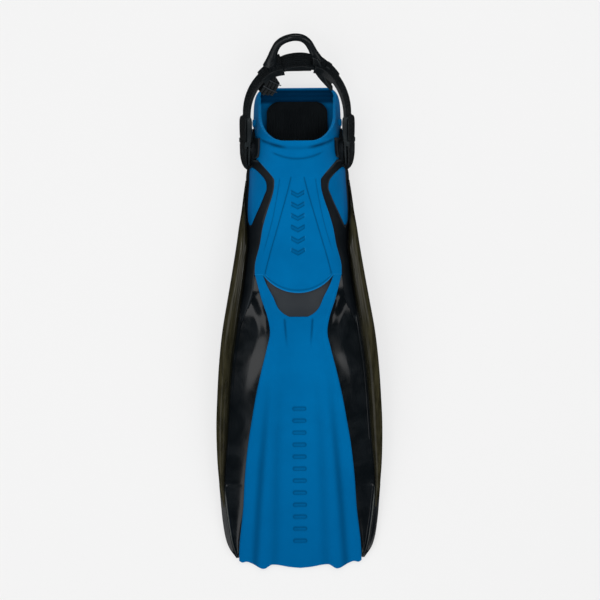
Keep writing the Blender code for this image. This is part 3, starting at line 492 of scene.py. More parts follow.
def black_polymer():
    """Spark-textured matt black of the rigid frame, a little paler where it is worn."""
    g = Graph("black_polymer")
    grain = g.cells(1500)
    blotch = g.noise(22, 4, 0.6)
    colour = g.mix(g.span(blotch, 0.35, 0.65), (0.0045, 0.0062, 0.0080), (0.0078, 0.0102, 0.0124))
    colour = g.mix(g.scaled(g.edge(0.54, 0.64), 0.5), colour, (0.035, 0.042, 0.048))
    g.set(Base_Color=colour, Roughness=g.span(blotch, 0.3, 0.7, 0.34, 0.46), Specular_IOR_Level=0.07)
    g.bump(grain, 0.05, 0.5)
    g.bump(g.noise(40, 2), 0.15, 0.25)
    return g.material


def smoke_web():
    """High-gloss smoke black with a slow waviness, and a pale painted highlight along the rim's edges towards
    the tip.
    """
    g = Graph("smoke_web")
    haze = g.noise(32, 5, 0.6, distortion=0.6)
    colour = g.mix(g.span(haze, 0.35, 0.7), (0.0018, 0.0032, 0.0044), (0.0045, 0.0068, 0.0088))
    # painted highlight: pale lines along the rim's convex edges, only past the rail's end towards the tip
    painted_rim_highlight = g.maths("MULTIPLY", g.edge(0.508, 0.54), g.span(g.axis("Y"), -0.262, -0.240, 0.8, 0.0))
    colour = g.mix(painted_rim_highlight, colour, (0.13, 0.14, 0.13))
    g.set(Base_Color=colour, Roughness=g.span(haze, 0.3, 0.75, 0.13, 0.25), Specular_IOR_Level=0.50)
    g.set(Coat_Weight=0.12, Coat_Roughness=0.08)
    g.bump(g.noise(24, 3, 0.5, stretch=(1.3, 0.28, 1.0), distortion=0.4), 0.30, 0.5)
    g.bump(g.noise(9, 2, stretch=(1.2, 0.4, 1.0)), 0.5, 0.35)
    return g.material


def olive_rail():
    """Translucent olive plastic: streaks run along it, its thin edges glow pale, and painted shade darkens it
    where the mesh's shade attribute says so.
    """
    g = Graph("olive_rail")
    streak = g.noise(1.0, 3, 0.5, stretch=(260, 3, 260))
    fine_streak = g.noise(1.0, 3, 0.6, stretch=(900, 8, 900))
    colour = g.mix(g.span(streak, 0.35, 0.68), (0.0135, 0.0122, 0.0050), (0.033, 0.0295, 0.0135))
    colour = g.mix(g.span(fine_streak, 0.45, 0.75, 0.0, 0.5), colour, (0.042, 0.038, 0.021))
    # painted shade: the bar is darkened where the rail's shade numbers say so
    colour = g.with_painted_shade(colour, (0.0045, 0.0045, 0.0020))
    g.set(Base_Color=colour, Roughness=0.22, Specular_IOR_Level=0.25, Coat_Weight=0.12, Coat_Roughness=0.12)
    g.bump(g.noise(1.0, 3, stretch=(300, 14, 300)), 0.18, 0.5)
    rim = g.span(g.node("ShaderNodeLayerWeight", {"Blend": 0.35}, "Facing"), 0.5, 1.0, 0.0, 0.14)
    glow = g.node("ShaderNodeBsdfTranslucent", {"Color": (0.62, 0.55, 0.36)})
    clear = g.node("ShaderNodeBsdfTransparent", {"Color": (0.55, 0.50, 0.34)})
    g.show(g.blend(rim, g.shader.outputs[0], g.blend(0.45, glow, clear)))
    return g.material


def grey_vent():
    """Smooth grey panel with a soft satin face."""
    g = Graph("grey_vent")
    blotch = g.noise(18, 3, 0.5)
    colour = g.mix(g.span(blotch, 0.3, 0.7), (0.017, 0.0215, 0.0275), (0.0235, 0.029, 0.035))
    g.set(Base_Color=colour, Roughness=g.span(blotch, 0.3, 0.7, 0.40, 0.50), Specular_IOR_Level=0.4)
    g.bump(g.noise(1300, 2, 0.6), 0.03, 0.5)
    return g.material


def black_rubber():
    """Satin black rubber with dusty pores and a pale painted highlight along its convex edges."""
    g = Graph("black_rubber")
    blotch = g.noise(60, 5, 0.65)
    pores = g.noise(1100, 2, 0.7)
    colour = g.mix(g.span(blotch, 0.3, 0.7), (0.0030, 0.0046, 0.0056), (0.0062, 0.0084, 0.0100))
    # painted highlight: pale colour along the convex edges
    colour = g.mix(g.scaled(g.edge(0.53, 0.62), 0.6), colour, (0.050, 0.062, 0.070))
    g.set(Base_Color=colour, Roughness=g.span(pores, 0.3, 0.7, 0.20, 0.32), Specular_IOR_Level=0.35)
    g.bump(pores, 0.05, 0.4)
    g.bump(g.noise(90, 3), 0.2, 0.3)
    return g.material


def footbed_foam():
    """Dull moulded insole with small closed cells."""
    g = Graph("footbed_foam")
    blotch = g.noise(30, 4, 0.6)
    colour = g.mix(g.span(blotch, 0.3, 0.7), (0.0018, 0.0032, 0.0043), (0.0038, 0.0057, 0.0072))
    g.set(Base_Color=colour, Roughness=0.72, Specular_IOR_Level=0.12)
    g.bump(g.cells(700), 0.10, 0.6)
    return g.material


def buckle_polymer(name="buckle_polymer", depth=1.0, pebble=0.05):
    """Dark grey moulded plastic with a fine texture, pebbles and paler worn edges."""
    g = Graph(name)
    grain = g.noise(1300, 2, 0.7)
    blotch = g.noise(70, 4, 0.6)
    shades = (0.0085, 0.0115, 0.0130), (0.0140, 0.0182, 0.0202)
    dark, pale = (tuple(depth * part for part in shade) for shade in shades)
    colour = g.mix(g.span(blotch, 0.3, 0.7), dark, pale)
    colour = g.mix(g.scaled(g.edge(0.545, 0.65), 0.5), colour, (0.060, 0.070, 0.074))
    g.set(Base_Color=colour, Roughness=g.span(grain, 0.3, 0.7, 0.24, 0.36), Specular_IOR_Level=0.18)
    g.bump(g.cells(620), pebble, 0.6)
    g.bump(grain, 0.04, 0.5)
    return g.material


def steel():
    """Bright steel with turning marks."""
    g = Graph("steel")
    marks = g.noise(1.0, 3, 0.6, stretch=(4000, 300, 300))
    g.set(Base_Color=g.mix(marks, (0.46, 0.47, 0.48), (0.66, 0.67, 0.68)), Metallic=1.0)
    g.set(Roughness=g.span(marks, 0.3, 0.7, 0.18, 0.34))
    g.bump(marks, 0.02, 0.4)
    return g.material


FLOOR_GLOW, FLOOR_MIRRORED = 0.75, 0.03


def floor_paper():
    """Pale seamless floor, part lit and part glowing, that stays dark in the glossy pieces' reflections."""
    g = Graph("floor_paper")
    g.set(Base_Color=g.mix(g.noise(6, 3), (0.80, 0.80, 0.80), (0.82, 0.82, 0.82)))
    g.set(Roughness=0.9, Specular_IOR_Level=0.1)
    g.bump(g.noise(240, 4), 0.1, 0.1)
    mirrored_ray = g.node("ShaderNodeLightPath", {}, "Is Glossy Ray")
    strength = g.span(mirrored_ray, 0, 1, 1.0, FLOOR_MIRRORED)
    glow = g.node("ShaderNodeEmission", {"Color": (0.90, 0.90, 0.90), "Strength": strength})
    g.show(g.blend(g.span(mirrored_ray, 0, 1, FLOOR_GLOW, 1.0), g.shader.outputs[0], glow))
    return g.material


SURFACES = {
    "blue": blue_elastomer(),
    "gusset": blue_elastomer("gusset_blue", painted_side_shade=True),
    "polymer": black_polymer(),
    "web": smoke_web(),
    "rail": olive_rail(),
    "vent": grey_vent(),
    "rubber": black_rubber(),
    "footbed": footbed_foam(),
    "buckle": buckle_polymer(),
    "grip": buckle_polymer("buckle_grip", 0.55, 0.28),
    "steel": steel(),
}


# ---- chassis and pocket ----

FLOOR_ANGLES = np.radians((5, 20, 45, 68, 90))
CHASSIS_KEYS = (
    SPEAR_Y, -26, -12, 2, 16, 28, TOE_Y, 43, 58, 76, 88, WINDOW_START_Y, 105, 116, 126, 137, 147, 157,
    165, 171, WINDOW_END_Y, BAND_END_Y, ARM_START_Y, WALL_END_Y, 201, ARM_END_Y, 234, SOLE_END_Y,
)
FLANK_PARTS = (8, 10, 6, 6)
FLOOR_PARTS = (2, 4, 6, 6, 6)
FLOORS = split(np.concatenate([[0.0], FLOOR_ANGLES]), FLOOR_PARTS)[1:]
SHOULDER = 4.0
BAND_CROWN = 0.45
SOLE_RIB_PITCH, SOLE_RIB_WIDTH, SOLE_RIB_HIGH, SOLE_RIB_END_Y = 13.0, 1.3, 0.9, 40.0


def edge_angle(edge, y, inset=0.0):
    return float(arch_angle(edge(y) + inset, y))


def flank_angles(y):
    """Arch angles from the vamp's edge to the widest line, along the chevron band and the gusset."""
    y = max(y, TOE_Y)
    start = edge_angle(vamp_edge, y)
    if y > WINDOW_END_Y:
        base = flank_angles(WINDOW_END_Y)
        return start * base / base[0]
    if y < WINDOW_START_Y:
        shoulder = edge_angle(skin_width, y, -SHOULDER)
        return np.array([start, shoulder, shoulder, shoulder / 2, 0.0])
    at_gusset = edge_angle(gusset_edge, y)
    return np.array([start, edge_angle(band_edge, y), at_gusset, at_gusset / 2, 0.0])


def chassis_columns(y):
    """The same lines for the chassis, with the spears in front and the post arms behind."""
    if y <= TOE_Y:
        shoulder = min(edge_angle(skin_width, y, -SHOULDER), edge_angle(spear_edge, y, 0.5))
        return np.array([edge_angle(spear_edge, y), shoulder, shoulder, shoulder / 2, 0.0])
    if y >= ARM_START_Y:
        top = edge_angle(band_edge, y)
        return np.array([edge_angle(band_edge, y, -1.0), top, top, top / 2, 0.0])
    if y > BAND_END_Y:
        share = (y - BAND_END_Y) / (ARM_START_Y - BAND_END_Y)
        return chassis_columns(BAND_END_Y) * (1 - share) + chassis_columns(ARM_START_Y) * share
    return np.concatenate([[edge_angle(vamp_edge, y, GAP)], flank_angles(y)[1:]])


def chassis_holes(rows):
    """The window, and the stretches behind the bands, arms and walls, left out of the chassis."""
    sizes = FLANK_PARTS + FLOOR_PARTS
    holes = []
    for place in (rows[1:] + rows[:-1]) / 2:
        mask = np.zeros(len(sizes), bool)
        mask[0] = place > BAND_END_Y
        mask[1] = WINDOW_START_Y < place < WINDOW_END_Y
        mask[1:4] |= place > ARM_END_Y
        mask[4:7] = place > WALL_END_Y
        half = np.repeat(mask, sizes)
        holes.append(np.concatenate([half, half[::-1]]))
    return np.array(holes)


def chassis_grid(rows, inside):
    """The chassis's outer face, with crowned bands and ribs under the sole, or its inner face."""
    y = rows[:, None]
    angles = split(np.array([chassis_columns(place) for place in rows]), FLANK_PARTS)
    wall = chassis_wall(y) if inside else 0.0
    out = RECESS - recess(y) - wall
    if inside:
        x, z = arch_point(y, angles, out)
        x[:, 0], top = arch_point(rows, angles[:, 0], (out + wall)[:, 0])
        z_in = arch_point(rows, angles[:, 0], out[:, 0])[1]
        thick = wall[:, 0]
        z[:, 0] = top - thick * thick / np.maximum(top - z_in, 0.4 * thick)
    else:
        across = np.concatenate([np.linspace(0, 1, FLANK_PARTS[0] + 1), np.zeros(sum(FLANK_PARTS[1:]))])
        x, z = arch_point(y, angles, out + BAND_CROWN * 4 * across * (1 - across))
    floor_thickness = curve((SPEAR_Y, 2.4), (TOE_Y, FLOOR_THICKNESS))
    base = CHASSIS_BOTTOM + (floor_thickness(y) if inside else 0.0)
    fx, fz = floor_point(y, FLOORS[None, :], out, middle(y) - sole(y) - base)
    if not inside:
        ribbed = within(fx / skin_width(y), 0.2, 0.86, 0.1) * smooth_step((SOLE_RIB_END_Y - y) / 6)
        fz = fz + SOLE_RIB_HIGH * ribbed * bell(from_nearest(y, SOLE_RIB_PITCH), SOLE_RIB_WIDTH)
    return both_halves(stacked(np.concatenate([x, fx], 1), y, np.concatenate([z, fz], 1)))


def chassis():
    rows = fine(CHASSIS_KEYS, 2.2)
    faces = chassis_grid(rows, False), chassis_grid(rows, True)
    slab("chassis_shell", *faces, "fin", "polymer", chassis_holes(rows), bevel=0.7, replaces="chassis")
    for label, side in SIDES:
        turned(f"{label}_post_boss", BOSS_STATIONS, POST, (side, 0, 0), "fin", "polymer", bevel=0.8)
        post_arm(label, side)
        heel_flange(label, side)


# Stations of the post arm: (y, inner x, outer x, bottom, top).
ARM_STATIONS = (
    (166, 58.5, 62.4, 33, 37), (172, 55.0, 62.2, 31, 43), (178, 53.2, 61.7, 30, 49),
    (186, 51.8, 60.8, 29, 56), (196, 51.2, 60.2, 28.6, 60.5), (205, 52.0, 60.0, 28.8, 58),
    (211, 53.4, 59.6, 29.6, 51), (217, 54.8, 59.0, 32.5, 47), (224, 56.0, 58.5, 37, 44),
)
FLUTE_DEPTH = 0.35
FLANGE_X, FLANGE_TOP, FLANGE_BOTTOM, FLANGE_DROOP = 53.0, 13.5, 5.0, 0.015


def post_arm(label, side):
    """The stiff arm beside the pocket that carries the buckle's post, with flutes along its top."""
    keys, *sizes = np.array(ARM_STATIONS).T
    y = fine(keys, 1.2)[:, None]
    near, far, bottom, top = (curve(*zip(keys, values))(y) for values in sizes)
    out, up = squared(around(40), 0.5)
    flutes = FLUTE_DEPTH * np.cos(3 * math.pi * out) * smooth_step((up - 0.5) / 0.3)
    x = (near + far) / 2 + (far - near) / 2 * out
    z = (bottom + top) / 2 + (top - bottom) / 2 * up + flutes
    loft(f"{label}_post_arm", mirrored(stacked(x, y, z), side), "fin", "polymer", bevel=0.5)


def heel_flange(label, side):
    """The low ledge at the foot of the heel's side, below the buckle."""
    y = fine((170, 176, 184, 190, 198, 205, 210, 213), 1.2)[:, None]
    edge = curve((170, 65.0), (176, 65.2), (190, 64.6), (198, 63.2), (205, 61.2), (210, 58.5), (213, 56))
    out = (edge(y) - FLANGE_X) * np.linspace(0, 1, 16)[None, :]
    top = stacked(FLANGE_X + out, y, sole(y) + FLANGE_TOP - FLANGE_DROOP * out**2)
    low = stacked(FLANGE_X + out, y, sole(y) + FLANGE_BOTTOM)
    side_slab(f"{label}_heel_flange", side, top, low, "polymer", bevel=1.0)


GUSSET_MARGIN, GUSSET_TAPER_Y, GUSSET_PAINTED_SHADE = 0.4, 171.0, 0.24


def gusset(label, side):
    """The soft window panel, pillowed between the chevron band and the wall."""
    rows = fine((99, 105, 116, 126, 137, 147, 157, 165, 171, 173.6), 1.6)
    across = np.linspace(0, 1, 19)[None, :]
    y = rows[:, None]
    margin = GUSSET_MARGIN + np.maximum(0, y - GUSSET_TAPER_Y) / 2.6
    a, b = arch_angle(band_edge(y) + margin, y), arch_angle(gusset_edge(y) - margin, y)
    angle = a + (b - a) * across
    along = (y - rows[0]) / (rows[-1] - rows[0])
    pillow = np.sqrt(np.clip(16 * across * (1 - across) * along * (1 - along), 0, 1))
    faces = (arch_point(y, angle, grow) for grow in (pillow, -SHELL))
    # painted shade: the whole steep panel is darkened a little
    top, low = (stacked(x, y, z, GUSSET_PAINTED_SHADE) for x, z in faces)
    side_slab(f"{label}_gusset_panel", side, top, low, "gusset", bevel=0.7, replaces=f"{label}_gusset")


MOUTH_Y, MOUTH_HALF, MOUTH_RADIUS = 208.5, 49.5, 32.0
MOUTH_SHARES = (0.126, 0.253, 0.506, 0.759, 0.89, 1.0)
MOUTH_ARC = (0.2, 0.6)
VAMP_SHARE, VAMP_CELLS = 0.62, 80
HEEL_CURL_Y, HEEL_LIFT = 250.0, 8.0
PAD_HIGH, PAD_END_Y = 0.9, 163.0
STRAKE_HIGH, STRAKE_START_Y, STRAKE_END_Y = 0.4, 58.0, 161.0
LOWER_CREASE_Y, UPPER_CREASE_Y, CREASE_HALF = 185.0, 198.5, 36.0
CHEVRON_PITCH, CHEVRON_FIRST, CHEVRON_LAST = 15.0, 62.0, 140.0
CHEVRON_SLANT, CHEVRON_HALF, CHEVRON_BAR, CHEVRON_DEPTH = 0.55, 9.0, 2.6, 0.8
HEEL_RIPPLE_Y = 255.0
DEEP_INSIDE = 99.0
EAR_X, EAR_Y, EAR_Z = 55.2, 231.5, 36.0


def mouth_point(s):
    """Plan position of the opening's edge, from 0 at the instep to 1 at the rear corner."""
    start, end = MOUTH_ARC
    turn = np.clip((s - start) / (end - start), 0, 1) * math.pi / 2
    straight = np.clip((s - end) / (1 - end), 0, 1)
    centre_x, centre_y = MOUTH_HALF - MOUTH_RADIUS, MOUTH_Y + MOUTH_RADIUS
    x = np.minimum(s, start) / start * centre_x + MOUTH_RADIUS * np.sin(turn)
    y = centre_y - MOUTH_RADIUS * np.cos(turn) + straight * (HEEL_Y - centre_y)
    return np.where(s > end, np.minimum(MOUTH_HALF, skin_width(y)), x), y


def pocket_floor_height(y):
    t = np.clip((y - HEEL_CURL_Y) / (HEEL_Y - HEEL_CURL_Y), 0, 1)
    base = sole(np.minimum(y, HEEL_CURL_Y)) + CHASSIS_BOTTOM + FLOOR_THICKNESS + UNDER_POCKET
    return base + HEEL_LIFT * (1 - np.sqrt(1 - 0.98 * t * t))


def vamp_relief(x, y):
    """Height of the raised pads, creases and plain sunk chevrons on top of the pocket, and painted shade
    along and in them.
    """
    ax = np.abs(x)
    front = y - lip_y(x)
    in_pad, in_strake = pad_edge(y) - ax, strake_edge(y) - ax
    pad_ends = smooth_step((PAD_END_Y - y) / 5) * smooth_step((front - 3.2) / 1.6)
    strake_ends = within(y, STRAKE_START_Y, STRAKE_END_Y, 20, 4)
    relief = PAD_HIGH * smooth_step(in_pad / 1.4 + 0.5) * pad_ends
    relief = relief + STRAKE_HIGH * smooth_step(in_strake / 1.2 + 0.5) * strake_ends

    bow = y - UPPER_CREASE_Y - 0.0049 * x * x
    lower = bell(y - LOWER_CREASE_Y - 0.0078 * x * x, 1.5) * smooth_step((CREASE_HALF - ax) / 9)
    upper = bell(bow, 2.0) * within(ax, 10, 50, 16, 5)
    relief = relief - 0.8 * lower - 0.9 * upper + 0.6 * smooth_step((bow - 0.5) / 3)

    slant = y - CHEVRON_SLANT * ax - CHEVRON_FIRST
    phase = np.abs(from_nearest(slant, CHEVRON_PITCH))
    in_row = (slant > -CHEVRON_PITCH / 2) * (slant < CHEVRON_LAST - CHEVRON_FIRST)
    inside = smooth_step((CHEVRON_HALF - ax) / 0.8) * in_row
    mark = smooth_step((CHEVRON_BAR - phase) / 0.7) * inside
    relief = relief - CHEVRON_DEPTH * mark
    rim = bell(phase - CHEVRON_BAR + 0.2, 0.7) * inside + bell(ax - CHEVRON_HALF + 0.2, 0.6) * mark

    # painted shade: the pads' and strakes' outlines, the creases and the chevrons' rims and floors are
    # darkened
    shade = 0.50 * bell(in_pad, 0.9) * smooth_step((PAD_END_Y - y) / 3) * smooth_step((front - 3) / 2)
    shade = shade + 0.45 * bell(front - 3.6, 0.8) * smooth_step(in_pad / 2)
    shade = shade + 0.35 * bell(in_strake, 0.8) * strake_ends
    shade = shade + 0.45 * lower + 0.60 * upper + 0.22 * bell(bow, 2.5) * smooth_step((40 - ax) / 10)
    shade = shade + 0.55 * np.minimum(rim, 1) + 0.22 * mark
    return relief, np.clip(shade, 0, 1)


def pocket_half(inside):
    """Half of the pocket: rows from the toe to the mouth, columns from the crown to the floor's middle."""
    shares = np.linspace(0, 1, VAMP_CELLS + 1)

    def vamp_angle(y, k):
        return math.pi / 2 + (arch_angle(vamp_edge(y), y) - math.pi / 2) * k

    def wall(y):
        return RIM_WALL + (RECESS + LINER - RIM_WALL) * (recess(y) / RECESS)

    def inner_cover(y, angle, depth):
        """The lining: rippled towards the heel, with painted shade darkening it away from the mouth."""
        x, z = arch_point(y, angle, -wall(y))
        ripples = 0.5 * np.sin((z - 20) * 1.15) * smooth_step((y - HEEL_RIPPLE_Y + 3) / 8)
        return stacked(x - ripples, y, z, 0.85 * smooth_step((depth - 1.5) / 3))

    def outer_cover(y, angle):
        relief, shade = vamp_relief(arch_point(y, angle)[0], y)
        x, z = arch_point(y, angle, relief * smooth_step((HEEL_Y - 5 - y) / 10))
        return stacked(x, y, z, shade)

    def cover(y, angle, depth):
        return inner_cover(y, angle, depth) if inside else outer_cover(y, angle)

    def flank(y, angle, depth):
        if inside:
            return inner_cover(y, angle, depth)
        x, z = arch_point(y, angle, -recess(y))
        return stacked(x, y, z, 0.0)

    def floor(y):
        grow = -wall(y) if inside else -recess(y)
        depth = np.maximum(0.4, middle(y) - pocket_floor_height(y) - (POCKET_FLOOR if inside else 0.0))
        x, z = floor_point(y, FLOORS[None, :], grow, depth)
        if not inside:
            return stacked(x, y, z, 0.0)
        z = z + 0.35 * np.sin((y - HEEL_RIPPLE_Y) * 1.1) * smooth_step((y - HEEL_RIPPLE_Y - 2) / 4)
        # painted shade: the floor is darkened somewhat, and strongly where it curls up into the heel wall,
        # short of its rear edge
        shade = (0.30 + 0.66 * smooth_step((y - HEEL_RIPPLE_Y) / 4)) * smooth_step((HEEL_Y - 1.5 - y) / 2)
        return stacked(x, y, z, shade)

    # From the toe lip to the split the rows run straight across, drawn forwards to the lip's arc on top.
    rows = fine([y for y in CHASSIS_KEYS if TOE_Y <= y <= WALL_END_Y], 0.95)
    y = rows[:, None]
    toe_x = arch_point(TOE_Y, vamp_angle(TOE_Y, shares))[0]
    front = np.minimum(TOE_Y, lip_y(toe_x))
    stretch = (WALL_END_Y - y) / (WALL_END_Y - TOE_Y)
    place = WALL_END_Y - stretch * (WALL_END_Y - front[None, :])
    angles = split(np.array([flank_angles(row) for row in rows]), FLANK_PARTS)
    forward = [cover(place, vamp_angle(place, shares), DEEP_INSIDE), flank(y, angles, DEEP_INSIDE), floor(y)]

    # Behind the split they fan out to the mouth's edge.
    starts = np.concatenate([vamp_angle(WALL_END_Y, shares), angles[-1]])[None, :]
    rear_shares = 1 - (1 - VAMP_SHARE) * angles[-1] / angles[-1][0]
    x_end, y_end = mouth_point(np.concatenate([shares * VAMP_SHARE, rear_shares])[None, :])
    u = fine((0.0,) + MOUTH_SHARES, 0.016)[1:, None]
    y = WALL_END_Y + (y_end - WALL_END_Y) * u
    angle = starts + (arch_angle(x_end, y_end) - starts) * u
    floor_y = WALL_END_Y + (HEEL_Y - WALL_END_Y) * u
    rearward = [cover(y, angle, (1 - u) * (y_end - WALL_END_Y)), floor(floor_y)]
    return np.concatenate([np.concatenate(parts, 1) for parts in (forward, rearward)], 0)


def foot_pocket():
    grids = []
    for inside in (False, True):
        half = pocket_half(inside)
        grids.append(np.concatenate([half, mirrored(half[:, 1:-1][:, ::-1], -1)], 1))
    slab("pocket_shell", *grids, "fin", "blue", wrap=True, bevel=1.3, segments=4, replaces="foot_pocket")
    for label, side in SIDES:
        pocket_ear(label, side)


def pocket_ear(label, side):
    """A small rounded ear that stands out from the heel's side."""
    t = np.linspace(-1, 1, 13)[:, None]
    swell = (1 - t * t) ** 0.25
    out, up = squared(around(28), 0.5)
    rings = stacked(EAR_X + (0.6 + 2.4 * swell) * out, EAR_Y + 5.5 * t, EAR_Z + (1 + 6.5 * swell) * up)
    loft(f"{label}_pocket_ear", mirrored(rings, side), "fin", "blue", bevel=0.3)


INSOLE_KEYS = (46, 60, 80, 110, 140, 170, 200, 225, 242, 251, 256.5, 259)
INSOLE_RIB_PITCH, INSOLE_RIB_DEPTH = 3.4, 0.55


def footbed():
    """The insole: raised along its edge, with fine lengthwise ribs inside a low welt."""
    half_width = curve(
        (46, 38), (110, 46), (150, 44), (200, 39.5), (242, 39.5), (251, 37.5), (256.5, 32), (259, 26)
    )
    k = np.linspace(-1, 1, 121)[None, :]
    y = fine(INSOLE_KEYS, 2.0)[:, None]
    x = k * half_width(y)
    base = sole(y) + CHASSIS_BOTTOM + FLOOR_THICKNESS + UNDER_POCKET + POCKET_FLOOR + GAP
    base = base + 1.8 * np.abs(k) ** 4 + 1.6 * smooth_step((y - 238) / 21)
    field = smooth_step((1 - np.abs(k)) / 0.05) * smooth_step((252 - y) / 5)
    ribs = INSOLE_RIB_DEPTH * smooth_step(0.5 - 0.9 * np.cos(2 * math.pi * x / INSOLE_RIB_PITCH)) * field
    welt = 0.5 * bell((1 - np.abs(k)) * half_width(y) - 2.2, 1.2)
    top = stacked(x, y, base + FOOTBED_THICKNESS - ribs + welt)
    slab("insole", top, stacked(x, y, base), "fin", "footbed", bevel=1.0, replaces="footbed")


# ---- blade ----

MARK_FIRST, MARK_LAST, MARK_PITCH = -140.0, -312.0, 15.6
MARK_HALF, MARK_RADIUS, MARK_DEPTH = 6.4, 2.4, 0.7
CHANNEL_KEYS = (
    33.9, 28, 22, 14, 5, -3, -11, -15, -18, -20.5, -26, -32.5, SPEAR_Y, SPEAR_Y - 0.6, -48, -60, -76, -98,
    -124, -152, -182, -212, -244, -276, -306, -326,
)
CENTRE_CELLS, SIDE_CELLS, TIP_CELLS = 20, 60, 16
VENT_FRONT_Y, VENT_DROP = -20.5, 7.0


def channel_lobes(x, y):
    """The two long waves that the top and the underside share."""
    return skin(x, y) + LOBE_HEIGHT * lobe_share(y) * bell(np.abs(x) - lobe_place(y), LOBE_WIDTH)


def channel_relief(x, y):
    """Height of the grooves, the edge bead and a row of plain rounded bars, and painted shade in and along
    them.
    """
    ax = np.abs(x)
    towards_tip = smooth_step((-80 - y) / 150)
    valley = bell(ax - valley_place(y), 4.6) * towards_tip
    inner_valley = bell(ax - inner_valley_place(y), 5.5) * towards_tip
    trough = bell(x, 12) * smooth_step((-40 - y) / 60)
    corner_place = curve((-62, 15.2), (-24, 18.2))(y)
    corner = bell(ax - corner_place, 1.3) * within(y, -66, -22, 30, 3)
    from_edge = channel_edge(y) - ax
    bead = bell(from_edge - 2.2, 1.5) * smooth_step((20 - y) / 12)

    number = np.round((MARK_FIRST - y) / MARK_PITCH)
    mark_y = MARK_FIRST - MARK_PITCH * number
    reach = np.hypot(np.maximum(0, ax - MARK_HALF), y - mark_y)
    inside = (number >= 0) & (mark_y >= MARK_LAST)
    mark = inside * smooth_step((MARK_RADIUS - reach) / 0.8)

    relief = 0.6 * bead - 1.4 * valley - 1.0 * inner_valley - 1.1 * trough - 1.0 * corner - MARK_DEPTH * mark
    # painted shade: the valleys, the corners by the grey panel, the bars' rims and the edge by the web are
    # darkened
    shade = 0.42 * valley + 0.16 * inner_valley + 0.5 * corner
    shade = shade + 0.45 * inside * bell(reach - MARK_RADIUS + 0.1, 0.8) + 0.16 * mark
    shade = shade + 0.30 * bell(from_edge, 1.6) * smooth_step((-60 - y) / 60)
    return relief, np.clip(shade, 0, 1)


def blade_channel():
    """The blade's waved middle; it forks round the grey panel and ends in a scalloped tip."""
    thickness = curve((-348, 2.9), (-200, 4.2), (-40, 5.0), (34, 5.2))
    rows = fine(CHANNEL_KEYS, 1.2)
    inner = vent_edge(rows)[:, None]
    edge = (channel_edge(rows) - GAP / 2)[:, None]
    across = inner + (edge - inner) * np.linspace(0, 1, SIDE_CELLS + 1)[1:]
    x = np.concatenate([inner * np.linspace(0, 1, CENTRE_CELLS + 1), across], 1)
    y = np.broadcast_to(rows[:, None], x.shape)
    ends = np.linspace(0, 1, TIP_CELLS + 1)[1:, None]
    x = np.concatenate([x, np.repeat(x[-1:], len(ends), 0)], 0)
    y = np.concatenate([y, rows[-1] + (tip_edge(x[-1])[None, :] - rows[-1]) * ends], 0)
    x, y = np.concatenate([-x[:, :0:-1], x], 1), np.concatenate([y[:, :0:-1], y], 1)
    relief, shade = channel_relief(x, y)
    top = stacked(x, y, channel_lobes(x, y) + relief, shade)
    low = stacked(x, y, channel_lobes(x, y) - thickness(y), 0.0)
    holes = np.zeros((x.shape[0] - 1, x.shape[1] - 1), bool)
    centre = (x.shape[1] - 1) // 2
    beside_vent = np.nonzero((rows[:-1] + rows[1:]) / 2 > VENT_FRONT_Y)[0]
    holes[beside_vent, centre - CENTRE_CELLS : centre + CENTRE_CELLS] = True
    slab("blade_middle", top, low, "fin", "blue", holes, bevel=0.9, segments=4, replaces="blade_channel")


def vent_panel():
    """The grey panel, which dips under the toe lip."""
    rows = fine((-20.2, -18, -14, -8, 0, 8, 16, 24, 32, 38), 1.4)[:, None]
    x = np.linspace(-1, 1, 71)[None, :] * (vent_edge(rows) + 1.2)
    rear = lip_y(x) + 4.5
    y = np.minimum(rows, rear)
    z = skin(x, y) - 0.6 - VENT_DROP * smooth_step((y - rows[0]) / (rear - rows[0]))
    faces = stacked(x, y, z), stacked(x, y, z - SHELL)
    slab("vent_face", *faces, "fin", "vent", bevel=0.6, replaces="vent_panel")


def toe_seal():
    """The upright wall under the toe lip that closes the pocket behind the grey panel."""
    x = np.linspace(-45, 45, 91)[None, :]
    depth = np.linspace(1.4, 12.5, 8)[:, None]
    faces = (lip_y(x) + back for back in (5.4, 6.8))
    slab("toe_seal", *(stacked(x, y, skin(x, y) - depth) for y in faces), "fin", "blue", bevel=0.3)


WEB_KEYS = (
    33, 24, 14, 2, -12, -26, -32.5, SPEAR_Y, SPEAR_Y - 0.6, -48, -60, -85, -110, -140, -170, -200, -225,
    RAIL_END_Y, RAIL_END_Y - 0.4, -262, -290, -308, -320, -328, -333.5,
)
WEB_DISH, WEB_GUTTER = 1.6, 3.2
RIM_HEIGHT, RIM_FLANK, RIM_FALL, RIM_BEAD, RIM_RISE = 1.5, 3.0, 1.7, 0.7, 0.8


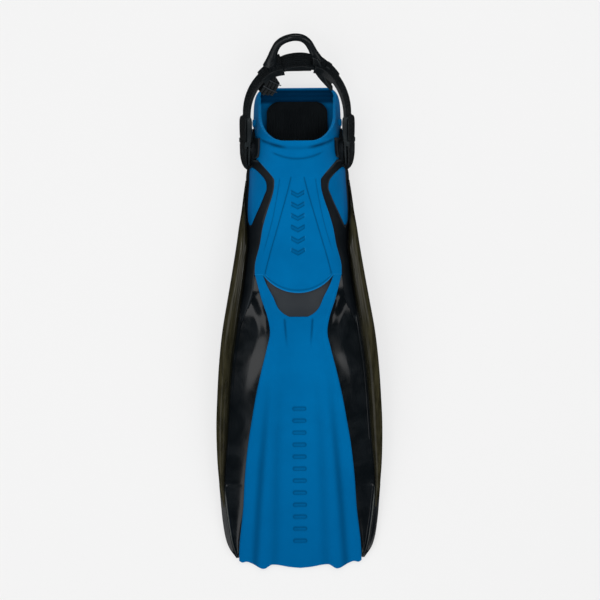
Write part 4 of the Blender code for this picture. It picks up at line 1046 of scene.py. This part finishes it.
def side_web(label, side):
    """The glossy panel; past the rail's end it widens into the blade's raised rim."""
    y = fine(WEB_KEYS, 2.4)[:, None]
    spear = spear_edge(y) - GAP - 1.4 * smooth_step((-12 - y) / 27)
    behind_rail = np.where(y >= RAIL_END_Y, skin_width(y) - GAP / 2, outline(y))
    outer = np.where(y >= SPEAR_Y, spear, behind_rail)
    inner = channel_edge(y) + GAP / 2
    k = np.linspace(0, 1, 61)[None, :]
    x = inner + (outer - inner) * k
    rim = smooth_step((RAIL_END_Y - y) / 3)
    ridge = skin_width(y)
    share = np.clip((x - inner) / (np.minimum(ridge, outer) - inner), 0, 1)
    dish = WEB_DISH * 4 * share * (1 - share) * smooth_step((-12 - y) / 60)
    gutter = WEB_GUTTER * within(y, -150, 24, 90, 30) * smooth_step((x - inner - 2) / 15)
    base = skin(x, y) + RIM_RISE * k * rim - dish - gutter
    flank = RIM_HEIGHT * smooth_step((x - ridge + RIM_FLANK) / RIM_FLANK)
    fall = RIM_FALL * np.clip((x - ridge) / np.maximum(outline(y) - ridge, 1), 0, 1) ** 1.6
    top = stacked(x, y, base + rim * (flank - fall + RIM_BEAD * bell(x - ridge - 0.6, 1.1)))
    thick = np.minimum(WEB_THICKNESS + 1.2 * smooth_step((RAIL_END_Y - y) / 20), skin(x, y) - 0.2)
    options = {"bevel": 0.8, "segments": 4, "replaces": f"{label}_web"}
    side_slab(f"{label}_web_panel", side, top, stacked(x, y, base - thick), "web", **options)


TONGUE_REACH, TONGUE_DROP, TONGUE_THICK = 1.8, 1.3, 0.7


def hidden_tongue(name, side, edge, span, surface):
    """A thin strip that bridges the joint between two neighbouring panels, inside both of them."""
    y = fine(span, 3)[:, None]
    x = edge(y) + np.linspace(-1, 1, 5)[None, :] * TONGUE_REACH
    z = skin(edge(y) - 1.5, y) - TONGUE_DROP
    side_slab(name, side, stacked(x, y, z), stacked(x, y, z - TONGUE_THICK), surface)


def web_joints(label, side):
    """Tongues along the channel, along the spear and under the rail's inner side."""
    hidden_tongue(f"{label}_channel_joint", side, channel_edge, (33, -333), "web")
    hidden_tongue(f"{label}_spear_joint", side, spear_edge, (30, -10), "polymer")
    y = fine((118, RAIL_END_Y), 3)[:, None]
    x = skin_width(y) + np.linspace(-3.2, 3.0, 5)[None, :]
    top, low = (stacked(x, y, rail_middle(y) - drop) for drop in (0.8, 1.7))
    side_slab(f"{label}_rail_joint", side, top, low, "web")


RAIL_KEYS = (RAIL_START_Y, 122, 98, 64, 20, -40, -110, -180, RAIL_END_Y + 0.5, RAIL_TAIL_Y)


def rail(label, side):
    """The translucent bar along the blade's edge, with a thin ridge on its inner shoulder."""
    turn = around(56)
    y = fine(RAIL_KEYS, 2.6)[:, None]
    inner = skin_width(y) * (1 - 0.034 * smooth_step((y - 80) / 34)) + GAP
    outer = rail_outline(y)
    tail = smooth_step((RAIL_END_Y - y) / (RAIL_END_Y - RAIL_TAIL_Y))
    centre, half = (inner + outer) / 2 - 1.5 * tail, (outer - inner) / 2 * (1 - 0.75 * tail)
    high = rail_half_height(y) * (1 - 0.8 * tail) * (1 - 0.7 * smooth_step((y - 118) / 40))

    def strip(degrees, width):
        """1 along a line on the bar's surface."""
        return bell(np.angle(np.exp(1j * (turn - math.radians(degrees)))), width)

    ridge = strip(128, 0.10) * smooth_step((80 - y) / 10)
    hollow = strip(106, 0.20) * smooth_step((70 - y) / 20)
    swell = 1 + 0.10 * ridge - 0.06 * hollow
    out, up = squared(turn, 0.8)
    # painted shade: the bar's inner side is darkened so its outer side reads as lit through, and the whole
    # bar is darker towards the heel
    shade = np.maximum(0.75 * smooth_step((0.45 - np.cos(turn)) / 1.1), smooth_step((y - 96) / 34))
    x, z = centre + half * out * np.minimum(swell, 1.0), rail_middle(y) + high * up * swell
    rings = mirrored(stacked(x, y, z, shade), side)
    loft(f"{label}_side_rail", rings, "fin", "rail", bevel=0.6, replaces=f"{label}_rail")


# Grip pads: name, start, end, half width, number of ribs.
TREADS = (("heel_tread", 192.0, SOLE_END_Y, 33.0, 7), ("ball_tread", 52.0, 132.0, 46.0, 8))
RIB_SHARE, TREAD_CORNER, TREAD_GROOVE = 0.62, 9.0, 1.2


def tread(name, y_from, y_to, half_width, ribs):
    """A grip pad under the sole: flat crested ribs with a slight wave, on a rounded plan."""
    pitch = (y_to - y_from) / (ribs - 1 + RIB_SHARE)
    y = np.linspace(y_from, y_to, int((y_to - y_from) / 0.7))[:, None]
    near_end = np.minimum(y - y_from, y_to - y)
    corner = np.sqrt(TREAD_CORNER**2 - np.maximum(0, TREAD_CORNER - near_end) ** 2)
    half = half_width - TREAD_CORNER + corner
    x = np.linspace(-1, 1, 81)[None, :] * half
    inside = smooth_step((half - np.abs(x)) / 3) * smooth_step(near_end / 1.2)
    phase = np.mod((y - y_from) / pitch + 0.10 * np.cos(x / 3.2), 1.0)
    groove = TREAD_GROOVE * within(phase, RIB_SHARE, 1, 0.07) * inside
    top, low = stacked(x, y, sole(y) + CHASSIS_BOTTOM - GAP), stacked(x, y, sole(y) + groove)
    slab(f"{name}_pad", top, low, "fin", "rubber", bevel=0.5, replaces=name)


# ---- buckles ----

# Stations of the buckle's bars: (v, lowest n, highest n, half height).
FRONT_PLATE = (
    (-20.5, -1.7, -0.1, 8.6), (-19, -1.9, 0.3, 9.6), (-8, -1.9, 1.0, 12.4), (4, -1.9, 1.0, 13.8),
    (12.4, -2.4, 1.0, 14.3),
)
STEP_BLOCK = ((11.4, -3.0, 3.1, 14.3), (12.0, -3.2, 3.3, 14.5), (14.0, -3.6, 3.3, 14.5))
CHANNEL = (
    (13.6, -3.6, 3.3, 14.5), (20, -4.8, 3.3, 14.6), (32, -5.25, 3.3, 14.6), (38, -5.25, 3.3, 14.5),
    (41, -5.0, 3.2, 14.2), (42.8, -4.5, 2.9, 13.6), (43.6, -3.9, 2.3, 12.9),
)
COVER = (
    (11.7, 3.6, 5.5, 12.6), (14.2, 3.6, 5.3, 13.6), (18, 3.6, 5.4, 14.4), (30, 3.6, 5.6, 14.6),
    (37, 3.6, 5.5, 14.2), (40.5, 3.5, 4.9, 13.2), (42.6, 3.2, 3.9, 11.6),
)
LEVER_ARM = (
    (-26.7, -0.6, 0.6, 4.5), (-25.6, -0.3, 1.8, 6.4), (-23, 0.5, 3.1, 8.7), (-20.5, 1.1, 4.0, 10.0),
    (-15, 2.1, 5.1, 11.4), (-8, 2.7, 5.8, 12.7), (4.5, 2.7, 5.7, 14.2), (5.3, 2.0, 5.8, 12.3),
    (11, 2.0, 5.7, 12.0),
)
LUG = (
    (LEVER_PIN_V - 2.6, 0.6, 5.2, 0.8), (LEVER_PIN_V - 1.4, 0.2, 5.8, 0.9), (12.4, 0.2, 5.8, 0.9),
)
LUG_W = 13.6
FINE_BAR = {"step": 0.5, "count": 120}
BADGE_STATIONS = ((-1.0, 4.6), (0.15, 4.6), (0.45, 4.2), (0.2, 2.6), (0.2, 0.6))
BADGE_N, BADGE_V = 5.2, -1.5
PANEL_START_V, PANEL_END_V, BAR_PITCH = 17.0, 39.0, 5.4
GRIP_START_V, GRIP_PITCH, GRIP_END_V = -24.0, 2.8, -11.0


def strap_frame(x, v, up):
    """World place of a point in the strap's plane: x across, v towards the heel, up out of the plane."""
    y = POST_Y + v * math.cos(STRAP_RISE) - up * math.sin(STRAP_RISE)
    return stacked(x, y, POST_Z + v * math.sin(STRAP_RISE) + up * math.cos(STRAP_RISE))


def leaned(n, w):
    """Across and up in the strap's plane, for n outwards and w along the leaning height."""
    c, s = math.cos(STRAP_LEAN), math.sin(STRAP_LEAN)
    return n * c - w * s, n * s + w * c


def buckle_point(side, n, v, w):
    """World place of a point in a buckle: n outwards, v towards the heel, w up its leaning height."""
    across, up = leaned(n, w)
    return strap_frame(side * (BUCKLE_X + across), v, up)


def bar_rings(side, stations, power=0.3, relief=None, rise=0.0, step=1.0, count=72):
    """Rings of a rounded bar along a buckle."""
    keys, *sizes = np.array(stations, float).T
    v = fine(keys, step)[:, None]
    low, high, half = (np.interp(v, keys, values) for values in sizes)
    out, up = squared(around(count), power)
    n = (low + high) / 2 + (high - low) / 2 * out
    if relief:
        n = n + relief(v, up, out)
    return buckle_point(side, n, v, half * up + rise)


def cover_relief(v, up, out):
    """A sunk panel with bars across it on the outer face."""
    face = smooth_step((out - 0.6) / 0.3)
    panel = smooth_step((0.72 - np.abs(up)) / 0.1) * within(v, PANEL_START_V, PANEL_END_V, 1.5)
    bars = bell(from_nearest(v - PANEL_START_V - BAR_PITCH / 2, BAR_PITCH), 0.9)
    return face * panel * (0.3 * bars - 0.3)


def lever_relief(v, up, out):
    """Grip grooves near the front end and a shallow thumb hollow behind them."""
    face = smooth_step((out - 0.6) / 0.3)
    grooves = bell(from_nearest(v - GRIP_START_V - GRIP_PITCH / 2, GRIP_PITCH), 0.5)
    grip = grooves * smooth_step((GRIP_END_V - v) / 1.5) * smooth_step((0.85 - np.abs(up)) / 0.1)
    hollow = bell(v + 2, 6) * (1 - up * up)
    return -face * (0.55 * grip + 0.5 * hollow)


def buckle(label, side):
    """The frame with its strap channel, hub and lever lugs, the outer cover and the release lever."""
    body, lever = f"{label}_buckle", f"{label}_lever"

    def bar(name, stations, on=body, surface="buckle", bevel=0.35, replaces=None, **shape):
        rings = bar_rings(side, stations, **shape)
        loft(f"{label}_{name}", rings, on, surface, bevel=bevel, replaces=replaces)

    bar("frame_plate", FRONT_PLATE)
    bar("frame_step", STEP_BLOCK)
    room = STRAP_THICK / 2 + GAP
    inner = [(v, STRAP_OFFSET - room, STRAP_OFFSET + room, STRAP_HIGH / 2 + GAP) for v, *_ in CHANNEL]
    faces = bar_rings(side, CHANNEL, power=0.46), bar_rings(side, inner, power=0.14)
    options = {"wrap": True, "bevel": 0.35, "replaces": f"{label}_buckle_frame"}
    slab(f"{label}_frame_channel", *faces, body, "buckle", **options)
    turned(f"{label}_frame_hub", HUB_STATIONS, POST, (side, 0, 0), body, "buckle", bevel=0.4)
    for end, name in ((-1, "lower"), (1, "upper")):
        bar(f"{name}_lug", LUG, bevel=0.2, rise=LUG_W * end)
    finish = {"surface": "grip", "bevel": 0.3, **FINE_BAR}
    bar("outer_cover", COVER, relief=cover_relief, replaces=f"{label}_buckle_cover", **finish)
    bar("lever_arm", LEVER_ARM, lever, relief=lever_relief, replaces=f"{label}_release_lever", **finish)
    centre = buckle_point(side, BADGE_N, BADGE_V, 0)
    out = buckle_point(side, 1, 0, 0) - buckle_point(side, 0, 0, 0)
    turned(f"{label}_lever_badge", BADGE_STATIONS, centre, out, lever, "buckle", bevel=0.15)


# ---- strap ----

WIDE_START, WIDE_END, WIDE_FADE = 56.0, 126.0, 26.0  # degrees round the bend
GROOVE_PLACES = (-11.5, -6.5, -1.5, 3.5, 8.5, 13.5)
PAD_START, PAD_TURN = 71.0, 32.0  # degrees
LOOP_BAR = (5.0, 4.2)
LOOP_LEFT, LOOP_RIGHT, LOOP_ROOT = math.radians(121), math.radians(65), 4.2
LOOP_PLAN = (
    (-33.8, 309.5), (-32.0, 316.0), (-29.2, 325.0), (-24.5, 333.5), (-17.5, 339.0), (-8.5, 342.2),
    (0, 343.0), (8.0, 341.3), (14.5, 336.5), (19.3, 329.0), (23.2, 321.0),
)
LOOP_LIFT, LOOP_LIFT_Y = 0.25, 312.0
SLEEVE_ROWS, SLEEVE_RIB_ROWS = 70, 10
LEFT_SLEEVE, RIGHT_SLEEVE = np.radians((107, 135)), np.radians((39.5, 67.5))
FOLD_REAR, FOLD_FRONT = np.array((-28.5, 103.0)), np.array((-44.0, 74.0))  # x and v in the strap's plane
FOLD_LAYERS, FOLD_PITCH, FOLD_THICK, FOLD_HIGH, FOLD_BOW = 4, 4.7, 4.1, 11.0, 1.6
FOLD_KEEPERS = (0.34, 0.66)
FLAP_PLAN = (
    (20.5, 319), (27.5, 317), (31.0, 311), (35, 299), (40, 286.5), (46.5, 277.5), (44, 275.5),
    (35.5, 284), (27, 294), (21.5, 304),
)
FLAP_LOW, FLAP_HIGH = -8.0, 12.0


def strap_v(y):
    """Distance along the strap's plane to a place in the fin's length."""
    return (y - POST_Y) / math.cos(STRAP_RISE)


def strap_path(turn):
    """Places and outward directions of the strap's middle line, from 0 on the right to pi on the left."""
    def place(a):
        x = STRAP_HALF * np.cos(a)
        return np.stack([x, STRAP_BEND_V + STRAP_DEPTH * np.sin(a) + STRAP_SKEW * x * np.sin(a) ** 2], -1)

    along = place(turn + 0.01) - place(turn - 0.01)
    along = along / np.linalg.norm(along, axis=-1, keepdims=True)
    return place(turn), np.stack([along[..., 1], -along[..., 0]], -1)


def strap_wide(turn):
    """How far the strap has widened: 0 in the buckles, 1 behind the heel."""
    return within(np.degrees(turn), WIDE_START, WIDE_END, WIDE_FADE)


def strap_high(turn):
    return STRAP_HIGH + (HEEL_HIGH - STRAP_HIGH) * strap_wide(turn)


def band_grid(places, outward, half_thick, half_high, shift=0.0, corner=1.0, relief=None, count=60):
    """Rings of a band with rounded corners along a path; sizes are a number or one for each place."""
    rows = len(places)
    thick, high = (np.broadcast_to(np.reshape(v, (-1, 1)), (rows, 1)) for v in (half_thick, half_high))
    t = np.linspace(-1, 1, count)[None, :]
    arc = np.radians(np.linspace(0, 90, 6)[1:-1])[None, :]
    flat_n, flat_w = thick + 0 * t, (high - corner) * t
    face = flat_n + relief(flat_w, high) if relief else flat_n
    from_cos, from_sin = corner * (np.cos(arc) - 1), corner * (np.sin(arc) - 1)
    n_cos, n_sin, w_cos, w_sin = (size + bend for size in (thick, high) for bend in (from_cos, from_sin))
    n = np.concatenate([face, n_cos, -n_sin, -flat_n, -n_cos, n_sin], 1) + shift
    w = np.concatenate([flat_w, w_sin, w_cos, -flat_w, -w_sin, -w_cos], 1)
    across, up = leaned(n, w)
    flat = places[:, None, :] + outward[:, None, :] * across[..., None]
    return strap_frame(flat[..., 0], flat[..., 1], up)


def heel_strap():
    """The rubber band: raised beads along its edges, and lengthwise grooves where it widens at the heel."""
    tail = np.linspace(STRAP_TAIL_V, STRAP_BEND_V, 14)[:-1]
    turns = np.linspace(0, math.pi, 220)
    bow, out = strap_path(turns)
    right = np.stack([np.full_like(tail, STRAP_HALF), tail], -1)
    to_right = np.tile((1.0, 0.0), (len(tail), 1))
    places = np.concatenate([right, bow, (right * (-1, 1))[::-1]])
    outward = np.concatenate([to_right, out, -to_right])
    turn = np.concatenate([0 * tail, turns, math.pi + 0 * tail])
    wide = strap_wide(turn)[:, None]
    free = np.concatenate([0 * tail, np.ones(len(turns)), 0 * tail])[:, None]

    def relief(w, high):
        bead = 0.30 * bell(high - np.abs(w) - 2.2, 1.0) * free
        grooves = 0.35 * wide * sum(bell(w - place, 0.7) for place in GROOVE_PLACES)
        return bead - grooves - 0.35 * (1 - wide) * free * bell(w, 5)

    grid = band_grid(places, outward, STRAP_THICK / 2, strap_high(turn) / 2, relief=relief, count=90)
    loft("strap_band", grid, "strap", "rubber", bevel=0.4, replaces="heel_strap")


def heel_pad():
    """The cushion whose outer face sits just inside the band, thickest in its middle."""
    share = np.linspace(0, 1, 60)
    places, outward = strap_path(np.radians(PAD_START + PAD_TURN * share))
    swell = np.sin(math.pi * share)
    thick, high = 1.2 + 0.7 * swell, 15 + 2 * swell
    inset = (-STRAP_THICK / 2 - GAP - thick)[:, None]
    grid = band_grid(places, outward, thick, high, shift=inset, corner=0.8)
    loft("strap_cushion", grid, "strap", "rubber", bevel=0.4, replaces="heel_pad")


def through(points, per_gap):
    """A smooth path through points."""
    p = np.array(points)
    p = np.concatenate([[2 * p[0] - p[1]], p, [2 * p[-1] - p[-2]]])
    t = (np.arange(per_gap) / per_gap)[:, None]
    parts = []
    for a, b, c, d in zip(p, p[1:], p[2:], p[3:]):
        bend, twist = 2 * a - 5 * b + 4 * c - d, 3 * b - a - 3 * c + d
        parts.append(0.5 * (2 * b + (c - a) * t + bend * t**2 + twist * t**3))
    return np.concatenate(parts + [p[-2:-1]])


def tube(name, path, widths, heights, body, surface, count=36, **options):
    """A solid bar of oval section along a path, kept upright."""
    along = np.gradient(path, axis=0)
    along /= np.linalg.norm(along, axis=1, keepdims=True)
    across = np.cross(along, (0, 0, 1.0))
    across /= np.linalg.norm(across, axis=1, keepdims=True)
    up = np.cross(across, along)
    turn = around(count)[..., None]
    wide, high = (np.reshape(v, (-1, 1, 1)) for v in (widths, heights))
    rings = path[:, None] + across[:, None] * wide * np.cos(turn) + up[:, None] * high * np.sin(turn)
    loft(name, rings, body, surface, **options)


def sleeve(name, turns, walls, extra_high, relief=None):
    """A moulded collar round the band."""
    turn = np.linspace(*turns, SLEEVE_ROWS)
    places, outward = strap_path(turn)
    wall = np.linspace(*walls, SLEEVE_ROWS)
    thick, high = STRAP_THICK / 2, strap_high(turn) / 2
    outer = band_grid(places, outward, thick + wall, high + wall + extra_high, corner=1.4, relief=relief)
    inner = band_grid(places, outward, thick + GAP, high + GAP)
    slab(name, outer, inner, "strap", "rubber", wrap=True, bevel=0.5)


def sleeve_ribs(w, high):
    """Ribs across a collar's outer face, one for each few rows."""
    rows = np.arange(SLEEVE_ROWS)[:, None]
    rib = 0.5 - 0.5 * np.cos(2 * math.pi * rows / SLEEVE_RIB_ROWS)
    return -0.7 * rib * within(rows, 6, SLEEVE_ROWS - 7, 4) * smooth_step((high - np.abs(w) - 3) / 1.5)


def pull_loop():
    """The finger loop: a smooth bar that flares into a ribbed collar on the left and a plain one at right."""
    def root(turn):
        place, outward = strap_path(np.array(turn))
        x, v = place + outward * LOOP_ROOT
        return strap_frame(x, v, 0.0)

    bow = []
    for x, y in LOOP_PLAN:
        height = strap_frame(x, strap_v(y), LOOP_LIFT * max(0.0, y - LOOP_LIFT_Y))[2]
        bow.append((x, y, height))
    path = through([root(LOOP_LEFT)] + bow + [root(LOOP_RIGHT)], 10)
    share = np.linspace(0, 1, len(path))
    left_flare, right_flare = smooth_step((0.30 - share) / 0.30), smooth_step((share - 0.84) / 0.16)
    width = LOOP_BAR[0] * (1 + 0.75 * left_flare + 0.30 * right_flare)
    height = LOOP_BAR[1] * (1 + 0.35 * left_flare + 0.25 * right_flare)
    tube("loop_bar", path, width, height, "strap", "rubber", replaces="pull_loop")
    sleeve("left_loop_collar", LEFT_SLEEVE, (3.0, 1.5), 1.0, relief=sleeve_ribs)
    sleeve("right_loop_collar", RIGHT_SLEEVE, (1.5, 3.1), 0.0)
    strap_fold()
    loop_flap()


def strap_fold():
    """The strap's free end, folded on itself inside the left collar, under two slim keepers."""
    length = np.linalg.norm(FOLD_FRONT - FOLD_REAR)
    along = (FOLD_FRONT - FOLD_REAR) / length
    inward = np.array((-along[1], along[0]))
    share = np.linspace(0, 1, 26)[:, None]
    offsets = (np.arange(FOLD_LAYERS) - (FOLD_LAYERS - 1) / 2) * FOLD_PITCH
    for number, offset in enumerate(offsets):
        first, last = 0.09 * number, 1 - 0.06 * abs(number - 1)
        at = first + (last - first) * share
        places = FOLD_REAR + along * length * at + inward * (offset + FOLD_BOW * np.sin(math.pi * at))
        outward = np.repeat(-inward[None, :], len(places), 0)
        grid = band_grid(places, outward, FOLD_THICK / 2, FOLD_HIGH - 0.7 * number, corner=1.3, count=40)
        loft(f"strap_fold_{number + 1}", grid, "strap", "rubber", bevel=0.5)
    for number, at in enumerate(FOLD_KEEPERS):
        reach = np.linspace(offsets[0] - 3.2, offsets[-1] + 3.2, 12)
        lean = FOLD_HIGH * math.sin(STRAP_LEAN)
        spots = FOLD_REAR + along * length * at + inward * (reach + FOLD_BOW + lean)[:, None]
        rise = FOLD_HIGH * math.cos(STRAP_LEAN) + 0.7 - 0.02 * (reach + 3) ** 2
        path = strap_frame(spots[:, 0], spots[:, 1], rise)
        tube(f"fold_keeper_{number + 1}", path, 0.7, 1.0, "strap", "vent", count=20)


def loop_flap():
    """The thin web that braces the loop's right leg, a bead on it, and a small keeper on the band."""
    plan = through(FLAP_PLAN + FLAP_PLAN[:1], 12)[:-1]
    centre = plan.mean(0)
    profile = [(0.01, FLAP_LOW + 1.2), (0.5, FLAP_LOW), (0.88, FLAP_LOW), (1.0, FLAP_LOW + 1.4)]
    profile += [(1.0, FLAP_HIGH - 1.8), (0.97, FLAP_HIGH - 0.7)]
    profile += [(share, FLAP_HIGH) for share in np.linspace(0.92, 0.01, 24)]
    rings = []
    for share, level in profile:
        spot = centre + (plan - centre) * share
        rings.append(strap_frame(spot[:, 0], strap_v(spot[:, 1]), level))
    loft("loop_flap", rings, "strap", "rubber")
    edge = through([strap_frame(x, strap_v(y), FLAP_HIGH + 0.1) for x, y in FLAP_PLAN[1:6]], 10)
    tube("loop_flap_bead", edge - (0.9, 0.3, 0), 0.7, 0.7, "strap", "buckle", count=16)
    place, outward = strap_path(np.radians(np.linspace(52, 57, 8)))
    grid = band_grid(place, outward, 2.6, 8.0, shift=STRAP_THICK / 2 + 3.4, corner=0.9)
    loft("loop_keeper", grid, "strap", "rubber", bevel=0.4)


# ---- everything ----

FLOOR_SIZE, FLOOR_Z = 40, -0.0004  # metres
WORLD_SEEN, WORLD_MIRRORED, WORLD_LIGHT = 0.90, 0.025, 0.44
# Lamps: name, place and target and size in metres, watts, whether glossy pieces mirror it.
LAMPS = (
    ("overhead", (0, 0, 2.2), (0, 0, 0), (2.4, 2.4), 24, False),
    ("left_box", (-0.85, 0.0, 1.30), (0, 0, 0.05), (0.6, 1.5), 3.4, True),
    ("right_box", (0.85, 0.2, 1.30), (0, 0.05, 0.05), (0.6, 1.2), 3.2, True),
    ("front_left_box", (-0.8, -1.0, 1.2), (0, 0, 0.05), (0.9, 0.8), 2.6, True),
    ("front_right_box", (0.9, -1.1, 1.2), (0, 0, 0.05), (0.5, 0.5), 0.8, True),
    ("key_spot", (-0.45, 0.35, 1.8), (0, 0.1, 0.05), (0.22, 0.22), 1.5, True),
    ("rear_box", (0.1, 1.4, 1.0), (0, 0.25, 0.05), (1.0, 0.3), 3.0, True),
)
VIEW_WIDTH = 0.78  # metres across the picture
CAMERA_PLACE, CAMERA_ROLL = (0.00204, 0.0013, 2.0), -0.0075


def build_fin():
    chassis()
    foot_pocket()
    footbed()
    for name, y_from, y_to, half_width, ribs in TREADS:
        tread(name, y_from, y_to, half_width, ribs)
    vent_panel()
    toe_seal()
    blade_channel()
    for label, side in SIDES:
        gusset(label, side)
        side_web(label, side)
        web_joints(label, side)
        rail(label, side)
        buckle(label, side)
    heel_strap()
    heel_pad()
    pull_loop()


def dress_kept_nodes():
    """The small steel pieces keep their CAD shape, with softened edges."""
    for label, _ in SIDES:
        for name in ("post", "post_clip", "lever_pin", "lever_spring"):
            node = bpy.data.objects[f"{label}_{name}"]
            node.data.materials.clear()
            node.data.materials.append(SURFACES["steel"])
            weld = node.modifiers.new("weld", "WELD")
            weld.merge_threshold = WELD
            round_edges(node, 0.12, 2)


def area_light(name, place, target, size, power, mirrored_in_gloss):
    """A rectangular lamp that the camera doesn't see."""
    data = bpy.data.lights.new(name, "AREA")
    data.shape, data.size, data.size_y = "RECTANGLE", size[0], size[1]
    data.energy = power
    lamp = linked(name, data)
    lamp.location = place
    lamp.rotation_euler = (Vector(target) - Vector(place)).to_track_quat("-Z", "Y").to_euler()
    lamp.visible_camera = False
    lamp.visible_glossy = mirrored_in_gloss


def surroundings():
    """A world of even light that looks pale to the camera and nearly black in reflections."""
    world = bpy.data.worlds.new("studio_world")
    bpy.context.scene.world = world
    world.use_nodes = True
    tree = world.node_tree
    rays = tree.nodes.new("ShaderNodeLightPath")
    background = tree.nodes["Background"]
    level = background.inputs["Strength"]
    for ray, value in (("Is Camera Ray", WORLD_SEEN), ("Is Glossy Ray", WORLD_MIRRORED)):
        choice = tree.nodes.new("ShaderNodeMix")
        tree.links.new(rays.outputs[ray], choice.inputs[0])
        tree.links.new(choice.outputs[0], level)
        choice.inputs[3].default_value = value
        level = choice.inputs[2]
    level.default_value = WORLD_LIGHT
    background.inputs["Color"].default_value = (1, 1, 1, 1)


def studio():
    """Pale floor, soft overhead light, and side boxes that the glossy panels mirror."""
    bpy.ops.mesh.primitive_plane_add(size=FLOOR_SIZE)
    floor = bpy.context.object
    floor.name = "studio_floor"
    floor.location.z = FLOOR_Z
    floor.data.materials.append(floor_paper())
    surroundings()
    for lamp in LAMPS:
        area_light(*lamp)


def camera():
    """Straight down, far above, with the heel at the top of the picture."""
    data = bpy.data.cameras.new("overhead_camera")
    data.type, data.ortho_scale = "ORTHO", VIEW_WIDTH
    data.clip_end = 100
    made = linked("overhead_camera", data)
    made.location = CAMERA_PLACE
    made.rotation_euler = (0, 0, CAMERA_ROLL)
    bpy.context.scene.camera = made
    bpy.context.scene.view_settings.view_transform = "Standard"


build_fin()
dress_kept_nodes()
studio()
camera()
